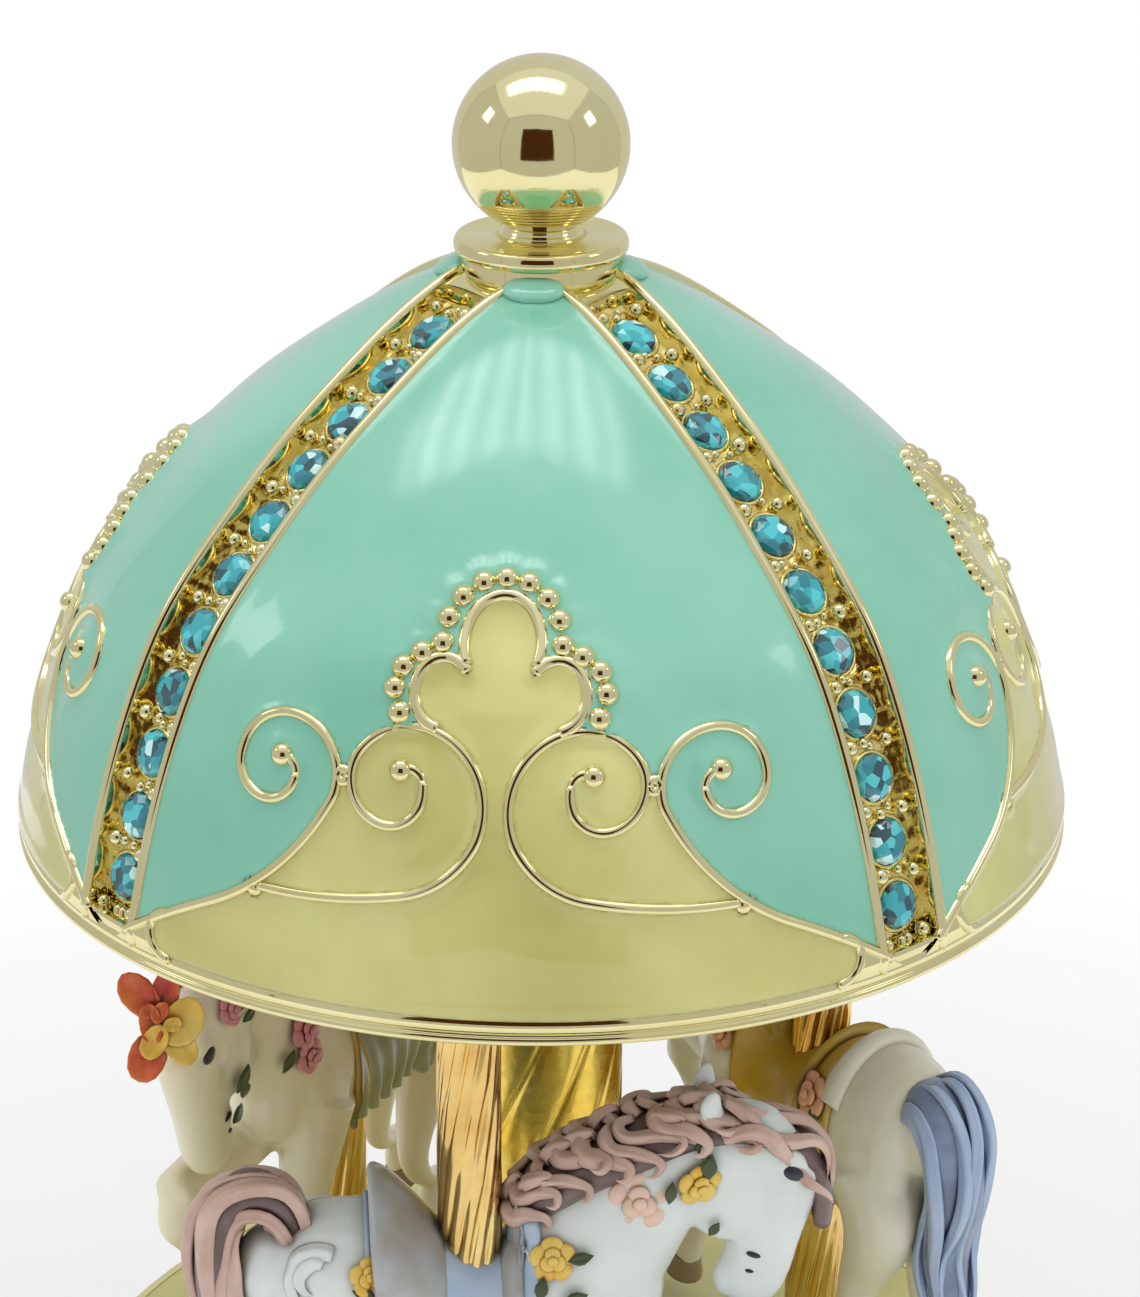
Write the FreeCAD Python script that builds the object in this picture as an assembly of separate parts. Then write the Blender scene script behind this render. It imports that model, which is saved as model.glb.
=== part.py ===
import FreeCAD, Part
import math
import os

# Carousel music box, in millimetres. The origin is the centre of the foot on the table, +Z is up and
# the middle of the front canopy panel faces -Y.
vec = FreeCAD.Vector
X_AXIS = vec(1, 0, 0)
Y_AXIS = vec(0, 1, 0)
Z_AXIS = vec(0, 0, 1)
ORIGIN = vec(0, 0, 0)

# Driving dimensions: heights above the table
foot_top = 12.0
plate_top = 14.0
bedplate_low = 17.0
bedplate_top = 19.5
barrel_low = 21.0
barrel_top = 32.0
cylinder_axis = 36.0
deck_low = 48.0
deck_top = 50.5
platform_low = 52.5
platform_top = 57.0
rim_z = 127.5
ceiling_z = rim_z + 3.9
ceiling_top = ceiling_z + 1.6

# Driving dimensions: canopy, measured from the lower edge of its rim
panel_count = 4
rim_radius = 49.5
dome_points = [(50.0, 3.0), (48.9, 7.5), (47.8, 11.5), (43.8, 22.0), (40.0, 28.5), (34.0, 35.0),
               (27.4, 41.0), (20.6, 46.0), (14.5, 50.0), (8.4, 53.0), (3.0, 54.6)]
dome_wall = 3.2
enamel_depth = 0.7
enamel_sink = 0.12
rib_half_width = 3.1
rib_lip = 1.1
rib_depth = 1.7
rib_foot_z = 3.4
rib_head_radius = 9.0
panel_low_z = 2.5
line_width = 0.85
stone_radius = 1.95
stone_seat = 0.5
rib_stones = 11
rib_stone_pitch = 5.7
rib_stone_first_z = 6.4
ceiling_radius = 46.5

# Driving dimensions: column, poles and platform
column_radius = 8.0
column_bore = 6.4
rod_radius = 2.0
pole_radius = 3.0
pole_circle = 30.0
pole_angles = [-8.0, 112.0, 232.0]
platform_radius = 51.0
oval_points = 8
collar_radius = 8.0
collar_top = rim_z + 56.3
ball_radius = 8.05
ball_z = rim_z + 64.6

# Driving dimensions: base and movement
foot_radius = 55.0
drum_radius = 48.5
drum_bore = 46.0
bush_radius = 6.5
shaft_radius = 4.0
running_gap = 0.05
base_stones = 32
barrel_radius = 14.7
arbor_radius = 3.0
crown_teeth = 40
crown_radius = 13.0
crown_inner = 11.3
cylinder_teeth = 10
cylinder_radius = 6.5
cylinder_span = (17.5, 33.5)
comb_teeth = 18
governor_module = 0.3
governor_gear_teeth = 36
governor_pinion_teeth = 12
governor_wheel_teeth = 20
fly_x = 37.2
bottom_screw_circle = 43.2
screw_radius = 1.25
screw_clearance = 1.6
boss_radius = 3.4
sound_hole_circle = 34.0
sound_holes = 24
pivot_radius = 1.0
fine_pivot_radius = 0.5
comb_screw_y = 22.4


def at(shape, x=0.0, y=0.0, z=0.0):
    """A moved copy of a shape."""
    moved = shape.copy()
    moved.translate(vec(x, y, z))
    return moved


def turned(shape, degrees, centre=ORIGIN, axis=Z_AXIS):
    """A turned copy of a shape."""
    copy = shape.copy()
    copy.rotate(centre, axis, degrees)
    return copy


def disc(radius, low, high, bore=0.0, x=0.0, y=0.0):
    """An upright disc or ring between two heights."""
    solid = Part.makeCylinder(radius, high - low, vec(x, y, low))
    if bore:
        solid = solid.cut(Part.makeCylinder(bore, high - low, vec(x, y, low)))
    return solid


def block(x_low, x_high, y_low, y_high, z_low, z_high):
    """A box between three pairs of limits."""
    return Part.makeBox(x_high - x_low, y_high - y_low, z_high - z_low, vec(x_low, y_low, z_low))


def turning(steps):
    """A solid turned about Z from an outline of (radius, height) points. A step of two points is an
    arc through the first to the second."""
    edges = []
    first = here = vec(steps[0][0], 0, steps[0][1])
    for step in steps[1:] + [steps[0]]:
        if isinstance(step[0], tuple):
            middle = vec(step[0][0], 0, step[0][1])
            there = vec(step[1][0], 0, step[1][1])
            edges.append(Part.Arc(here, middle, there).toShape())
        else:
            there = vec(step[0], 0, step[1])
            if here.distanceToPoint(there) > 1e-6:
                edges.append(Part.LineSegment(here, there).toShape())
        here = there
    assert here.distanceToPoint(first) < 1e-6
    return Part.Face(Part.Wire(edges)).revolve(ORIGIN, Z_AXIS, 360)


def fused(shapes):
    """One solid out of several that run into each other."""
    return shapes[0].multiFuse(shapes[1:]).removeSplitter()


def export(name, shape):
    """Writes one sub-part, after a look at its solids."""
    shape.exportStep("parts/%s.step" % name)
    print(name, len(shape.Solids), "solids", round(shape.Volume, 1), "valid", shape.isValid())


# Canopy: one zinc casting of four panels and four stone channels, plated, its cells filled with enamel
def dome_curve(offset):
    """The dome's profile, moved out along its normal."""
    curve = Part.BSplineCurve()
    curve.interpolate([vec(r, 0, rim_z + z) for r, z in dome_points])
    if not offset:
        return curve
    moved = Part.BSplineCurve()
    samples = []
    for index in range(len(dome_points)):
        place = curve.parameter(vec(dome_points[index][0], 0, rim_z + dome_points[index][1]))
        along = curve.tangent(place)[0]
        samples.append(curve.value(place) + vec(along.z, 0, -along.x) * offset)
    moved.interpolate(samples)
    return moved


def dome_solid(offset):
    """The whole space under the dome's profile, moved out by an offset, down to the rim."""
    curve = dome_curve(offset)
    low = curve.value(curve.FirstParameter)
    high = curve.value(curve.LastParameter)
    rim = vec(rim_radius + offset, 0, rim_z)
    top = vec(0, 0, high.z)
    edges = [
        Part.LineSegment(vec(0, 0, rim_z), rim).toShape(),
        Part.LineSegment(rim, low).toShape(),
        curve.toShape(),
        Part.LineSegment(high, top).toShape(),
        Part.LineSegment(top, vec(0, 0, rim_z)).toShape(),
    ]
    return Part.Face(Part.Wire(edges)).revolve(ORIGIN, Z_AXIS, 360)


def scroll_line(start, heading, arcs):
    """A gold line as a face in the front plane: a chain of tangent arcs, each a radius and a turn in
    degrees, positive to the left, with the line's width on both sides and square ends."""
    left, right = [], []
    point, angle = vec(start[0], 0, start[1]), math.radians(heading)
    for radius, turn in arcs:
        side = 1 if turn > 0 else -1
        normal = vec(-math.sin(angle), 0, math.cos(angle)) * side
        centre = point + normal * radius
        swing = math.radians(turn)
        rays = [vec(-normal.x * math.cos(a) + normal.z * math.sin(a), 0,
                    -normal.z * math.cos(a) - normal.x * math.sin(a)) for a in (0, swing / 2, swing)]
        for edges, reach in ((left, -side * line_width / 2), (right, side * line_width / 2)):
            a, b, c = [centre + ray * (radius + reach) for ray in rays]
            edges.append(Part.Arc(a, b, c).toShape())
        point = centre + rays[2] * radius
        angle += swing
    ends = [Part.LineSegment(left[end].Vertexes[end].Point, right[end].Vertexes[end].Point).toShape()
            for end in (0, -1)]
    return Part.Face(Part.Wire(Part.sortEdges(left + right + ends)[0]))


def ring_line(centre, radius, start, end):
    """A gold line round a lobe, between two angles."""
    turn = end - start
    angle = math.radians(start)
    foot = (centre[0] + radius * math.cos(angle), centre[1] + radius * math.sin(angle))
    return scroll_line(foot, start + (90 if turn > 0 else -90), [(radius, turn / 2), (radius, turn / 2)])


# The front panel's ornament, in the plane of the panel: x from the middle, z from the rim
border_start, border_heading = (-33.3, 3.1), 38.5
border_arcs = [(50.0, -11.5), (26.1, 33.3), (4.0, 109.6), (4.6, 94.7), (2.4, 107), (2.8, 70)]
scroll_start, scroll_heading = (-20.25, 11.0), -0.7
scroll_arcs = [(60.0, 12), (9.0, 45), (5.95, 87), (5.95, 86), (3.4, 115), (2.95, 120)]
lobe_centre, lobe_radius = (-4.7, 27.7), 2.5
crown_lobe_centre, crown_lobe_radius = (0.0, 31.2), 3.25
joint_centre, joint_radius = (-13.0, 20.95), 0.8
cusp_centre, cusp_radius = (-20.7, 10.75), 1.1
nose_centre, nose_radius = (-28.6, 4.2), 1.75


def spot(centre, radius):
    """A round face in the front plane."""
    return Part.Face(Part.Wire(Part.makeCircle(radius, vec(centre[0], 0, centre[1]), Y_AXIS)))


def corner_web():
    """The flat gold between the border's foot and the stone channel, where the lower cell ends in a nose."""
    corners = [(nose_centre[0], 0), (nose_centre[0], 6.3), (-31.0, 4.8), border_start, (-36.0, 1.0), (-36.0, 0)]
    outline = [vec(x, 0, z) for x, z in corners + corners[:1]]
    return Part.Face(Part.makePolygon(outline)).cut(spot(nose_centre, nose_radius)).Faces[0]


def panel_lines():
    """Every gold line of one panel, as solids that run through the front of the dome."""
    lines = [
        scroll_line(border_start, border_heading, border_arcs),
        scroll_line(scroll_start, scroll_heading, scroll_arcs),
        ring_line(lobe_centre, lobe_radius, 262, 40),
        spot(joint_centre, joint_radius),
        spot(cusp_centre, cusp_radius),
        corner_web(),
    ]
    lines += [face.mirror(ORIGIN, X_AXIS) for face in lines]
    lines.append(ring_line(crown_lobe_centre, crown_lobe_radius, 206, -26))
    bars = [at(face, z=rim_z).extrude(vec(0, -2 * rim_radius, 0)) for face in lines]
    return bars[0].multiFuse(bars[1:])


def panel_wedge():
    """The plan of one panel: the space between two stone channels, above the rim's plain band."""
    reach = 2.0 * rim_radius
    inset = (rib_half_width + rib_lip) * math.sqrt(2)
    plan = Part.makePolygon([vec(0, -inset, 0), vec(reach, -inset - reach, 0), vec(-reach, -inset - reach, 0),
                             vec(0, -inset, 0)])
    wedge = at(Part.Face(plan), z=rim_z + panel_low_z).extrude(vec(0, 0, 2 * rim_radius))
    return wedge.cut(disc(rib_head_radius - 0.4, rim_z, collar_top))


def panel_cells():
    """The cells of the front panel that hold enamel, cut down through the dome's skin."""
    skin = dome_solid(1.0).cut(dome_solid(-enamel_depth))
    return skin.common(panel_wedge()).cut(panel_lines()).Solids


def round_panels(solids):
    """The front panel's solids at all four panels."""
    return [turned(solid, 360.0 / panel_count * step) for step in range(panel_count) for solid in solids]


def rib_seats():
    """The stone places along one channel on its floor, each a point and a direction out, from the foot
    to the head, a pitch apart."""
    curve = dome_curve(-rib_depth)
    place = curve.parameter(vec(rim_radius - rib_depth, 0, rim_z + rib_stone_first_z))
    end = curve.LastParameter
    shape = curve.toShape(place, end)
    seats = []
    for point in shape.discretize(Distance=rib_stone_pitch)[:rib_stones]:
        along = curve.tangent(curve.parameter(point))[0]
        seats.append((point, vec(along.z, 0, -along.x)))
    return seats


def brilliant(radius):
    """A flat-backed stone with ten sides: a girdle, a crown of facets and a table, rising along Z."""
    def ring(reach, height):
        steps = [math.radians(36 * k) for k in range(11)]
        return Part.makePolygon([vec(reach * math.cos(a), reach * math.sin(a), height) for a in steps])
    edge = ring(radius, stone_seat)
    girdle = Part.makeLoft([ring(radius * 0.93, 0), edge], True, True)
    crown = Part.makeLoft([edge, ring(radius * 0.58, stone_seat + 0.75)], True, True)
    return girdle.fuse(crown).removeSplitter()


def seated(shape, point, out):
    """A shape that stands along Z, put on a seat and pointed out of it."""
    copy = shape.copy()
    copy.Placement = FreeCAD.Placement(point, FreeCAD.Rotation(Z_AXIS, out))
    return copy


def rib_angles():
    """The four channels' directions, half way between the panels."""
    return [360.0 / panel_count * (step + 0.5) - 90.0 for step in range(panel_count)]


def make_canopy():
    """The casting, its enamel and its stones."""
    dome = dome_solid(0.0)
    under = dome_solid(-dome_wall)
    trench = block(rib_head_radius, 60, -rib_half_width, rib_half_width, rim_z + rib_foot_z, collar_top)
    channel = trench.cut(dome_solid(-rib_depth))
    cells = panel_cells()
    seats = [(turned(seated(Part.makeCylinder(stone_radius + 0.05, 3), point - out * stone_seat, out), angle),
              turned(seated(brilliant(stone_radius), point - out * stone_seat, out), angle))
             for angle in rib_angles() for point, out in rib_seats()]
    shell = dome.cut(under).cut(disc(rod_radius + 0.1, rim_z, collar_top))
    shell = shell.cut(disc(ceiling_radius, rim_z, ceiling_top))
    shell = shell.cut(Part.Compound([turned(channel, angle) for angle in rib_angles()]))
    shell = shell.cut(Part.Compound(round_panels(cells)))
    shell = shell.cut(Part.Compound([pocket for pocket, stone in seats]))
    boss = disc(collar_radius - 0.6, rim_z + 52.0, collar_top - 1.7, rod_radius + 0.1)
    shell = shell.fuse(boss.cut(under))
    enamel_top = dome_solid(-enamel_sink)
    enamel = [solid for cell in cells for solid in cell.common(enamel_top).Solids]
    enamel.sort(key=lambda solid: solid.CenterOfMass.z)
    export("canopy_shell", shell)
    export("canopy_mint_enamel", Part.Compound(round_panels(enamel[-1:])))
    export("canopy_cream_enamel", Part.Compound(round_panels(enamel[:-1])))
    export("canopy_stones", Part.Compound([stone for pocket, stone in seats]))
    ceiling = disc(ceiling_radius, ceiling_z, ceiling_top, column_radius - 1.2)
    for angle in pole_angles:
        x, y = pole_place(angle)
        ceiling = ceiling.cut(disc(2.0, ceiling_z, ceiling_top, x=x, y=y))
    export("ceiling_plate", ceiling)


# Finial: a turned collar and ball that screw down on the tie rod and clamp the canopy to the column
def make_finial():
    """The collar with its turned rings, the ball on its neck and the rod through everything."""
    low = collar_top - 1.7
    collar = turning([(rod_radius + 0.05, low), (collar_radius - 0.4, low), ((collar_radius, low + 0.85),
                      (collar_radius - 0.4, collar_top)), (rod_radius + 0.05, collar_top)])
    for radius in (4.6, 5.5, 6.4, 7.2):
        collar = collar.cut(disc(radius + 0.12, collar_top - 0.15, collar_top, radius - 0.12))
    export("finial_collar", collar)
    ball = Part.makeSphere(ball_radius, vec(0, 0, ball_z))
    neck = turning([(0, collar_top), (4.2, collar_top), ((3.5, collar_top + 0.7), (3.4, collar_top + 1.6)),
                    (3.4, ball_z), (0, ball_z)])
    rod_end = ball_z - 2.0
    bore = disc(rod_radius, collar_top - 1, rod_end)
    export("finial_ball", ball.fuse(neck).cut(bore).removeSplitter())
    export("tie_rod", disc(rod_radius, platform_low + 1.5, rod_end))


# Column, poles and platform, which turn together
def pole_place(angle):
    """A pole's place on its circle. The angle runs from the front towards +X."""
    turn = math.radians(angle)
    return pole_circle * math.sin(turn), -pole_circle * math.cos(turn)


def make_column_and_poles():
    """The column tube between platform and ceiling, with a spigot in each, and three poles."""
    column = disc(column_radius, platform_top, ceiling_z, column_bore)
    spigot = disc(column_radius - 1.2, ceiling_z, ceiling_z + 3.0, column_bore)
    export("centre_column", column.fuse(spigot))
    for name, angle in zip(("front", "right", "left"), pole_angles):
        x, y = pole_place(angle)
        pole = disc(pole_radius, platform_top, ceiling_z, x=x, y=y)
        tenon = disc(2.0, platform_top - 2.5, ceiling_z + 2.4, x=x, y=y)
        nut = turned(Part.Face(Part.makePolygon([vec(3.2 * math.cos(math.radians(60 * k)),
                     3.2 * math.sin(math.radians(60 * k)), 0) for k in range(7)])), angle)
        nut = at(nut, x, y, ceiling_top).extrude(vec(0, 0, 1.6))
        export("pole_" + name, pole.fuse(tenon).fuse(nut).removeSplitter())


def make_platform():
    """The turntable casting with a rolled edge, an enamelled top and a hub that takes the shaft."""
    edge = platform_top - platform_low
    lip = platform_radius - 1.4
    body = turning([(rod_radius, platform_low + 1.5), (shaft_radius, platform_low + 1.5),
                    (shaft_radius, platform_low), (47.5, platform_low), (47.5, platform_low - 1.0),
                    (lip, platform_low - 1.0),
                    ((platform_radius, platform_low + edge / 2), (lip, platform_top)),
                    (rod_radius, platform_top)])
    inlay = disc(48.8, platform_top - 0.8, platform_top, column_radius + 1.2)
    holes = [disc(2.0, platform_top - 2.5, platform_top, x=x, y=y) for x, y in map(pole_place, pole_angles)]
    collars = [disc(pole_radius + 0.8, platform_top - 0.8, platform_top, x=x, y=y)
               for x, y in map(pole_place, pole_angles)]
    field = inlay.cut(Part.Compound(collars))
    body = body.cut(field).cut(Part.Compound(holes))
    export("platform", body)
    export("platform_enamel", field.common(disc(60, platform_low, platform_top - enamel_sink)))


# Horses: one resin casting, used three times, each on its own pole
def oval(centre, tilt, thick, wide):
    """A closed oval across the horse. centre is (forward, side, up), tilt the slope in degrees of the
    run that it cuts, thick its half size in the horse's own plane and wide across it."""
    slope = math.radians(tilt)
    upright = vec(-math.sin(slope), 0, math.cos(slope))
    points = []
    for step in range(oval_points):
        turn = 2 * math.pi * step / oval_points
        points.append(vec(*centre) + upright * (thick * math.cos(turn)) + Y_AXIS * (wide * math.sin(turn)))
    curve = Part.BSplineCurve()
    curve.interpolate(Points=points, PeriodicFlag=True, Parameters=[float(k) for k in range(oval_points + 1)])
    return Part.Wire(curve.toShape())


def limb(rings):
    """A rounded run through ovals, each ((forward, side, up), tilt, thick, wide)."""
    return Part.makeLoft([oval(*ring) for ring in rings], True, False)


def leg(side, joints):
    """A leg through its joints, each (forward, up, half thickness), on one side of the horse."""
    rings = []
    for index, (forward, up, thick) in enumerate(joints):
        after = joints[min(index + 1, len(joints) - 1)]
        before = joints[max(index - 1, 0)]
        tilt = math.degrees(math.atan2(after[1] - before[1], after[0] - before[0]))
        rings.append(((forward, side, up), tilt, thick, thick * 0.85))
    return limb(rings)


def horse_shape():
    """A jumping horse with an arched neck, saddle, mane and tail, bored for its pole. It faces +X over
    the platform's top, with the pole at the origin."""
    body = limb([((-18.2, 0, 31.0), 0, 2.2, 2.0), ((-15.5, 0, 31.0), 0, 5.6, 5.0),
                 ((-9.0, 0, 30.8), 0, 7.0, 6.4), ((0.0, 0, 30.4), 0, 6.5, 5.9),
                 ((7.5, 0, 32.0), 18, 7.2, 6.0), ((13.0, 0, 37.4), 48, 6.6, 4.4),
                 ((17.6, 0, 42.8), 48, 5.4, 3.4), ((21.8, 0, 46.6), 20, 4.6, 3.0),
                 ((25.6, 0, 45.0), -42, 4.2, 3.0), ((28.0, 0, 41.0), -60, 3.5, 2.6),
                 ((29.8, 0, 37.2), -64, 2.6, 2.1), ((31.0, 0, 34.6), -66, 2.3, 2.0),
                 ((31.6, 0, 33.2), -66, 1.4, 1.3)])
    mane = limb([((6.0, 0, 37.6), 40, 1.8, 1.6), ((10.0, 0, 42.6), 48, 3.0, 2.2),
                 ((14.0, 0, 47.4), 46, 3.0, 2.2), ((19.0, 0, 51.0), 20, 2.8, 2.2),
                 ((24.6, 0, 50.0), -30, 2.4, 2.0), ((28.4, 0, 46.4), -50, 1.6, 1.5)])
    tail = limb([((-15.6, 0, 34.0), 170, 1.8, 1.8), ((-19.6, 0, 34.6), 195, 2.8, 2.6),
                 ((-22.6, 0, 29.4), 255, 3.4, 3.2), ((-23.4, 0, 22.0), 270, 2.8, 3.0),
                 ((-22.4, 0, 16.0), 285, 1.2, 1.4)])
    saddle = limb([((-9.6, 0, 30.8), 0, 8.3, 7.6), ((-6.0, 0, 30.6), 0, 8.0, 7.5),
                   ((0.0, 0, 30.4), 0, 7.6, 7.0), ((5.6, 0, 31.4), 0, 8.4, 7.3)])
    saddle = saddle.common(block(-20, 20, -10, 10, 28.2, 60))
    cantle = limb([((-8.6, 0, 36.5), 90, 1.7, 5.2), ((-9.2, 0, 41.0), 100, 1.3, 4.8),
                   ((-10.0, 0, 44.0), 112, 0.8, 3.4)])
    ears = [limb([((21.6, side * 1.9, 48.5), 90, 1.2, 1.0), ((21.4, side * 2.1, 51.6), 90, 1.0, 0.8),
                  ((21.6, side * 2.2, 53.4), 95, 0.35, 0.3)]) for side in (1, -1)]
    legs = [
        leg(3.2, [(-11.5, 28.5, 4.4), (-13.6, 21.0, 3.2), (-10.8, 14.6, 1.9), (-14.6, 8.6, 1.5),
                  (-14.0, 5.0, 1.9), (-13.4, 3.2, 2.1)]),
        leg(-3.2, [(-11.5, 28.5, 4.4), (-15.0, 21.6, 3.2), (-14.0, 14.6, 1.9), (-18.2, 10.4, 1.5),
                   (-19.2, 7.0, 1.9), (-19.4, 5.2, 2.1)]),
        leg(3.0, [(9.6, 29.5, 3.8), (14.0, 24.0, 2.6), (18.0, 20.4, 2.0), (18.4, 16.6, 1.8),
                  (15.4, 13.0, 1.5), (13.0, 11.4, 1.9)]),
        leg(-3.0, [(9.6, 29.5, 3.8), (12.6, 21.6, 2.6), (15.4, 14.6, 1.8), (17.0, 8.4, 1.5),
                   (18.0, 5.4, 1.8), (18.4, 3.8, 1.9)]),
    ]
    horse = body
    for piece in [mane, tail] + legs + [saddle, cantle] + ears:
        horse = horse.fuse(piece)
    return horse.cut(disc(pole_radius, 0, 60))


def make_horses():
    """The three castings, nose to tail round the platform."""
    horse = horse_shape()
    for name, angle in zip(("front", "right", "left"), pole_angles):
        x, y = pole_place(angle)
        export("horse_" + name, at(turned(horse, angle), x, y, platform_top))


# Base: a drum and a foot ring, cast, plated and enamelled, with a deck that carries the turning platform
def make_base():
    """The drum with its deck and bearing bush, its enamel band and stones, and the foot ring."""
    band_low, band_high = 17.5, 41.0
    row_low, row_high, row_depth = band_high + 2.4, 48.4, 0.6
    stone_z = (row_low + row_high) / 2
    bead_radius, post_half = 49.6, 2.2
    drum = turning([(bush_radius, deck_low), (drum_bore, deck_low), (drum_bore, foot_top), (51.0, foot_top),
                    ((51.9, foot_top + 1.0), (51.0, foot_top + 2.0)), (49.2, foot_top + 2.8),
                    (drum_radius, foot_top + 4.0), (drum_radius, band_high + 1.2),
                    ((bead_radius, band_high + 1.7), (drum_radius, row_low)),
                    (drum_radius - row_depth, row_low), (drum_radius - row_depth, row_high),
                    (drum_radius, row_high), ((bead_radius - 0.3, row_high + 1.0), (drum_radius, deck_top)),
                    (bush_radius, deck_top)])
    band = disc(drum_radius, band_low, band_high, drum_radius - enamel_depth)
    post = block(drum_radius - 2, drum_radius + 2, -post_half, post_half, band_low, band_high)
    band = band.cut(Part.Compound([turned(post, angle) for angle in rib_angles()]))
    pockets, stones = [], []
    for step in range(base_stones):
        angle = 360.0 / base_stones * (step + 0.5)
        seat = vec(drum_radius - row_depth - stone_seat, 0, stone_z)
        pockets.append(turned(seated(Part.makeCylinder(stone_radius + 0.05, 3), seat, X_AXIS), angle))
        stones.append(turned(seated(brilliant(stone_radius), seat, X_AXIS), angle))
    bosses = [turned(disc(boss_radius, plate_top, plate_top + 8, x=bottom_screw_circle), 90 * step + 45)
              for step in range(4)]
    drum = drum.cut(band).cut(Part.Compound(pockets)).multiFuse(bosses)
    bore = disc(screw_radius, plate_top, plate_top + 6, x=bottom_screw_circle)
    for step in range(4):
        drum = drum.cut(turned(bore, 90 * step + 45))
    export("base_drum", drum)
    export("base_mint_enamel", band.common(disc(drum_radius - enamel_sink, 0, deck_top)))
    export("base_stones", Part.Compound(stones))
    foot = turning([(46.4, 0.0), (53.6, 0.0), ((foot_radius, 1.4), (53.6, 2.8)), (53.0, 3.2),
                    ((51.4, 6.2), (50.4, 10.2)), (51.0, 11.0), (51.0, foot_top), (46.4, foot_top)])
    cove = turning([(52.3, 3.6), ((50.75, 6.3), (49.8, 9.8)), (54.0, 9.8), (55.0, 3.6)])
    foot_cells = foot.common(cove)
    export("base_foot", foot.cut(cove))
    export("foot_enamel", foot_cells)
    bush = disc(bush_radius, deck_low - 2, deck_top, shaft_radius + running_gap)
    flange = disc(bush_radius + 2, deck_low - 3, deck_low, shaft_radius + running_gap)
    export("deck_bush", bush.fuse(flange).removeSplitter())
    export("thrust_washer", disc(14.0, deck_top, platform_low - running_gap, bush_radius))


def make_bottom():
    """The bottom plate with its sound holes, and its four screws."""
    plate = disc(drum_bore - 0.1, foot_top, plate_top, arbor_radius + 0.6)
    holes = [turned(disc(1.6, foot_top, plate_top, x=sound_hole_circle), 360.0 / sound_holes * (step + 0.5))
             for step in range(sound_holes)]
    screw_holes = [turned(disc(screw_clearance, foot_top, plate_top, x=bottom_screw_circle), 90 * step + 45)
                   for step in range(4)]
    feet_holes = [disc(screw_clearance, foot_top, plate_top, x=x, y=y) for x, y in bedplate_feet]
    export("bottom_plate", plate.cut(Part.Compound(holes + screw_holes + feet_holes)))
    screw = turning([(0, foot_top - 1.6), (1.6, foot_top - 1.6), ((2.4, foot_top - 0.9), (2.6, foot_top)),
                     (screw_radius, foot_top), (screw_radius, plate_top + 5), (0, plate_top + 5)])
    slot = block(-3, 3, -0.3, 0.3, foot_top - 1.6, foot_top - 0.9)
    screw = screw.cut(slot)
    export("bottom_screws", Part.Compound([turned(at(screw, x=bottom_screw_circle), 90 * step + 45)
                                           for step in range(4)]))
    export("movement_screws", Part.Compound([at(screw, x, y) for x, y in bedplate_feet]))


# Movement: barrel, pinned cylinder, comb and air-brake governor on one bedplate
bedplate_feet = [(-12.0, 12.0), (-12.0, -12.0), (30.0, 15.0), (27.0, -15.0)]


def gear(teeth, module, thick, bore):
    """A spur gear with tapered teeth and backlash, standing on its face along Z. One tooth points to +X."""
    pitch = teeth * module / 2
    tip, root = pitch + 0.75 * module, pitch - 1.15 * module
    half = 360.0 / teeth
    points = []
    for step in range(teeth):
        for radius, share in ((root, -0.27), (tip, -0.1), (tip, 0.1), (root, 0.27)):
            a = math.radians(half * (step + share))
            points.append(vec(radius * math.cos(a), radius * math.sin(a), 0))
    face = Part.Face(Part.makePolygon(points + points[:1]))
    return face.extrude(vec(0, 0, thick)).cut(Part.makeCylinder(bore, thick))


def along_x(shape, x, y, z):
    """A shape that stands along Z, laid down along +X at a place."""
    copy = shape.copy()
    copy.Placement = FreeCAD.Placement(vec(x, y, z), FreeCAD.Rotation(Y_AXIS, 90)).multiply(shape.Placement)
    return copy


def make_barrel():
    """The spring barrel with crown teeth on its lid, the drive shaft on it and the spring inside."""
    step = 360.0 / crown_teeth
    low = barrel_top
    drum = disc(barrel_radius, barrel_low, barrel_top)
    drum = drum.cut(disc(barrel_radius - 1, barrel_low + 1, barrel_top - 2))
    drum = drum.cut(disc(arbor_radius + running_gap, barrel_low, barrel_top - 2))
    rings = []
    for radius in (crown_inner, barrel_radius - 0.2):
        points = []
        for share, height in ((-0.19, low), (-0.1, low + 1.2), (0.1, low + 1.2), (0.19, low)):
            a = math.radians(step * share)
            points.append(vec(radius * math.cos(a), radius * math.sin(a), height))
        rings.append(Part.makePolygon(points + points[:1]))
    tooth = Part.makeLoft(rings, True, True)
    teeth = [turned(tooth, step * (k + 0.5)) for k in range(crown_teeth)]
    export("spring_barrel", drum.multiFuse(teeth).removeSplitter())
    shaft = disc(shaft_radius, barrel_top, platform_low + 1.5)
    export("drive_shaft", shaft.fuse(disc(8.0, barrel_top, barrel_top + 1.2)).removeSplitter())
    turns, pitch, thick = 7, 1.15, 0.5
    edges = []
    start = arbor_radius + 1.2
    for offset in (0.0, thick):
        here = vec(start + offset, 0, 0)
        for half in range(2 * turns):
            way = 1 if half % 2 == 0 else -1
            radius = start + offset + pitch * half / 2 + pitch / 4
            centre = here - vec(way * radius, 0, 0)
            there = centre - vec(way * radius, 0, 0)
            edges.append(Part.Arc(here, centre + vec(0, way * radius, 0), there).toShape())
            here = there
        edges.append(here)
    inner, outer = edges[:2 * turns], edges[2 * turns + 1:-1]
    ends = [Part.LineSegment(vec(start, 0, 0), vec(start + thick, 0, 0)).toShape(),
            Part.LineSegment(edges[2 * turns], edges[-1]).toShape()]
    spiral = Part.Face(Part.Wire(Part.sortEdges(inner + outer + ends)[0]))
    export("mainspring", at(spiral, z=barrel_low + 1.6).extrude(vec(0, 0, 6.8)))


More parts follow.
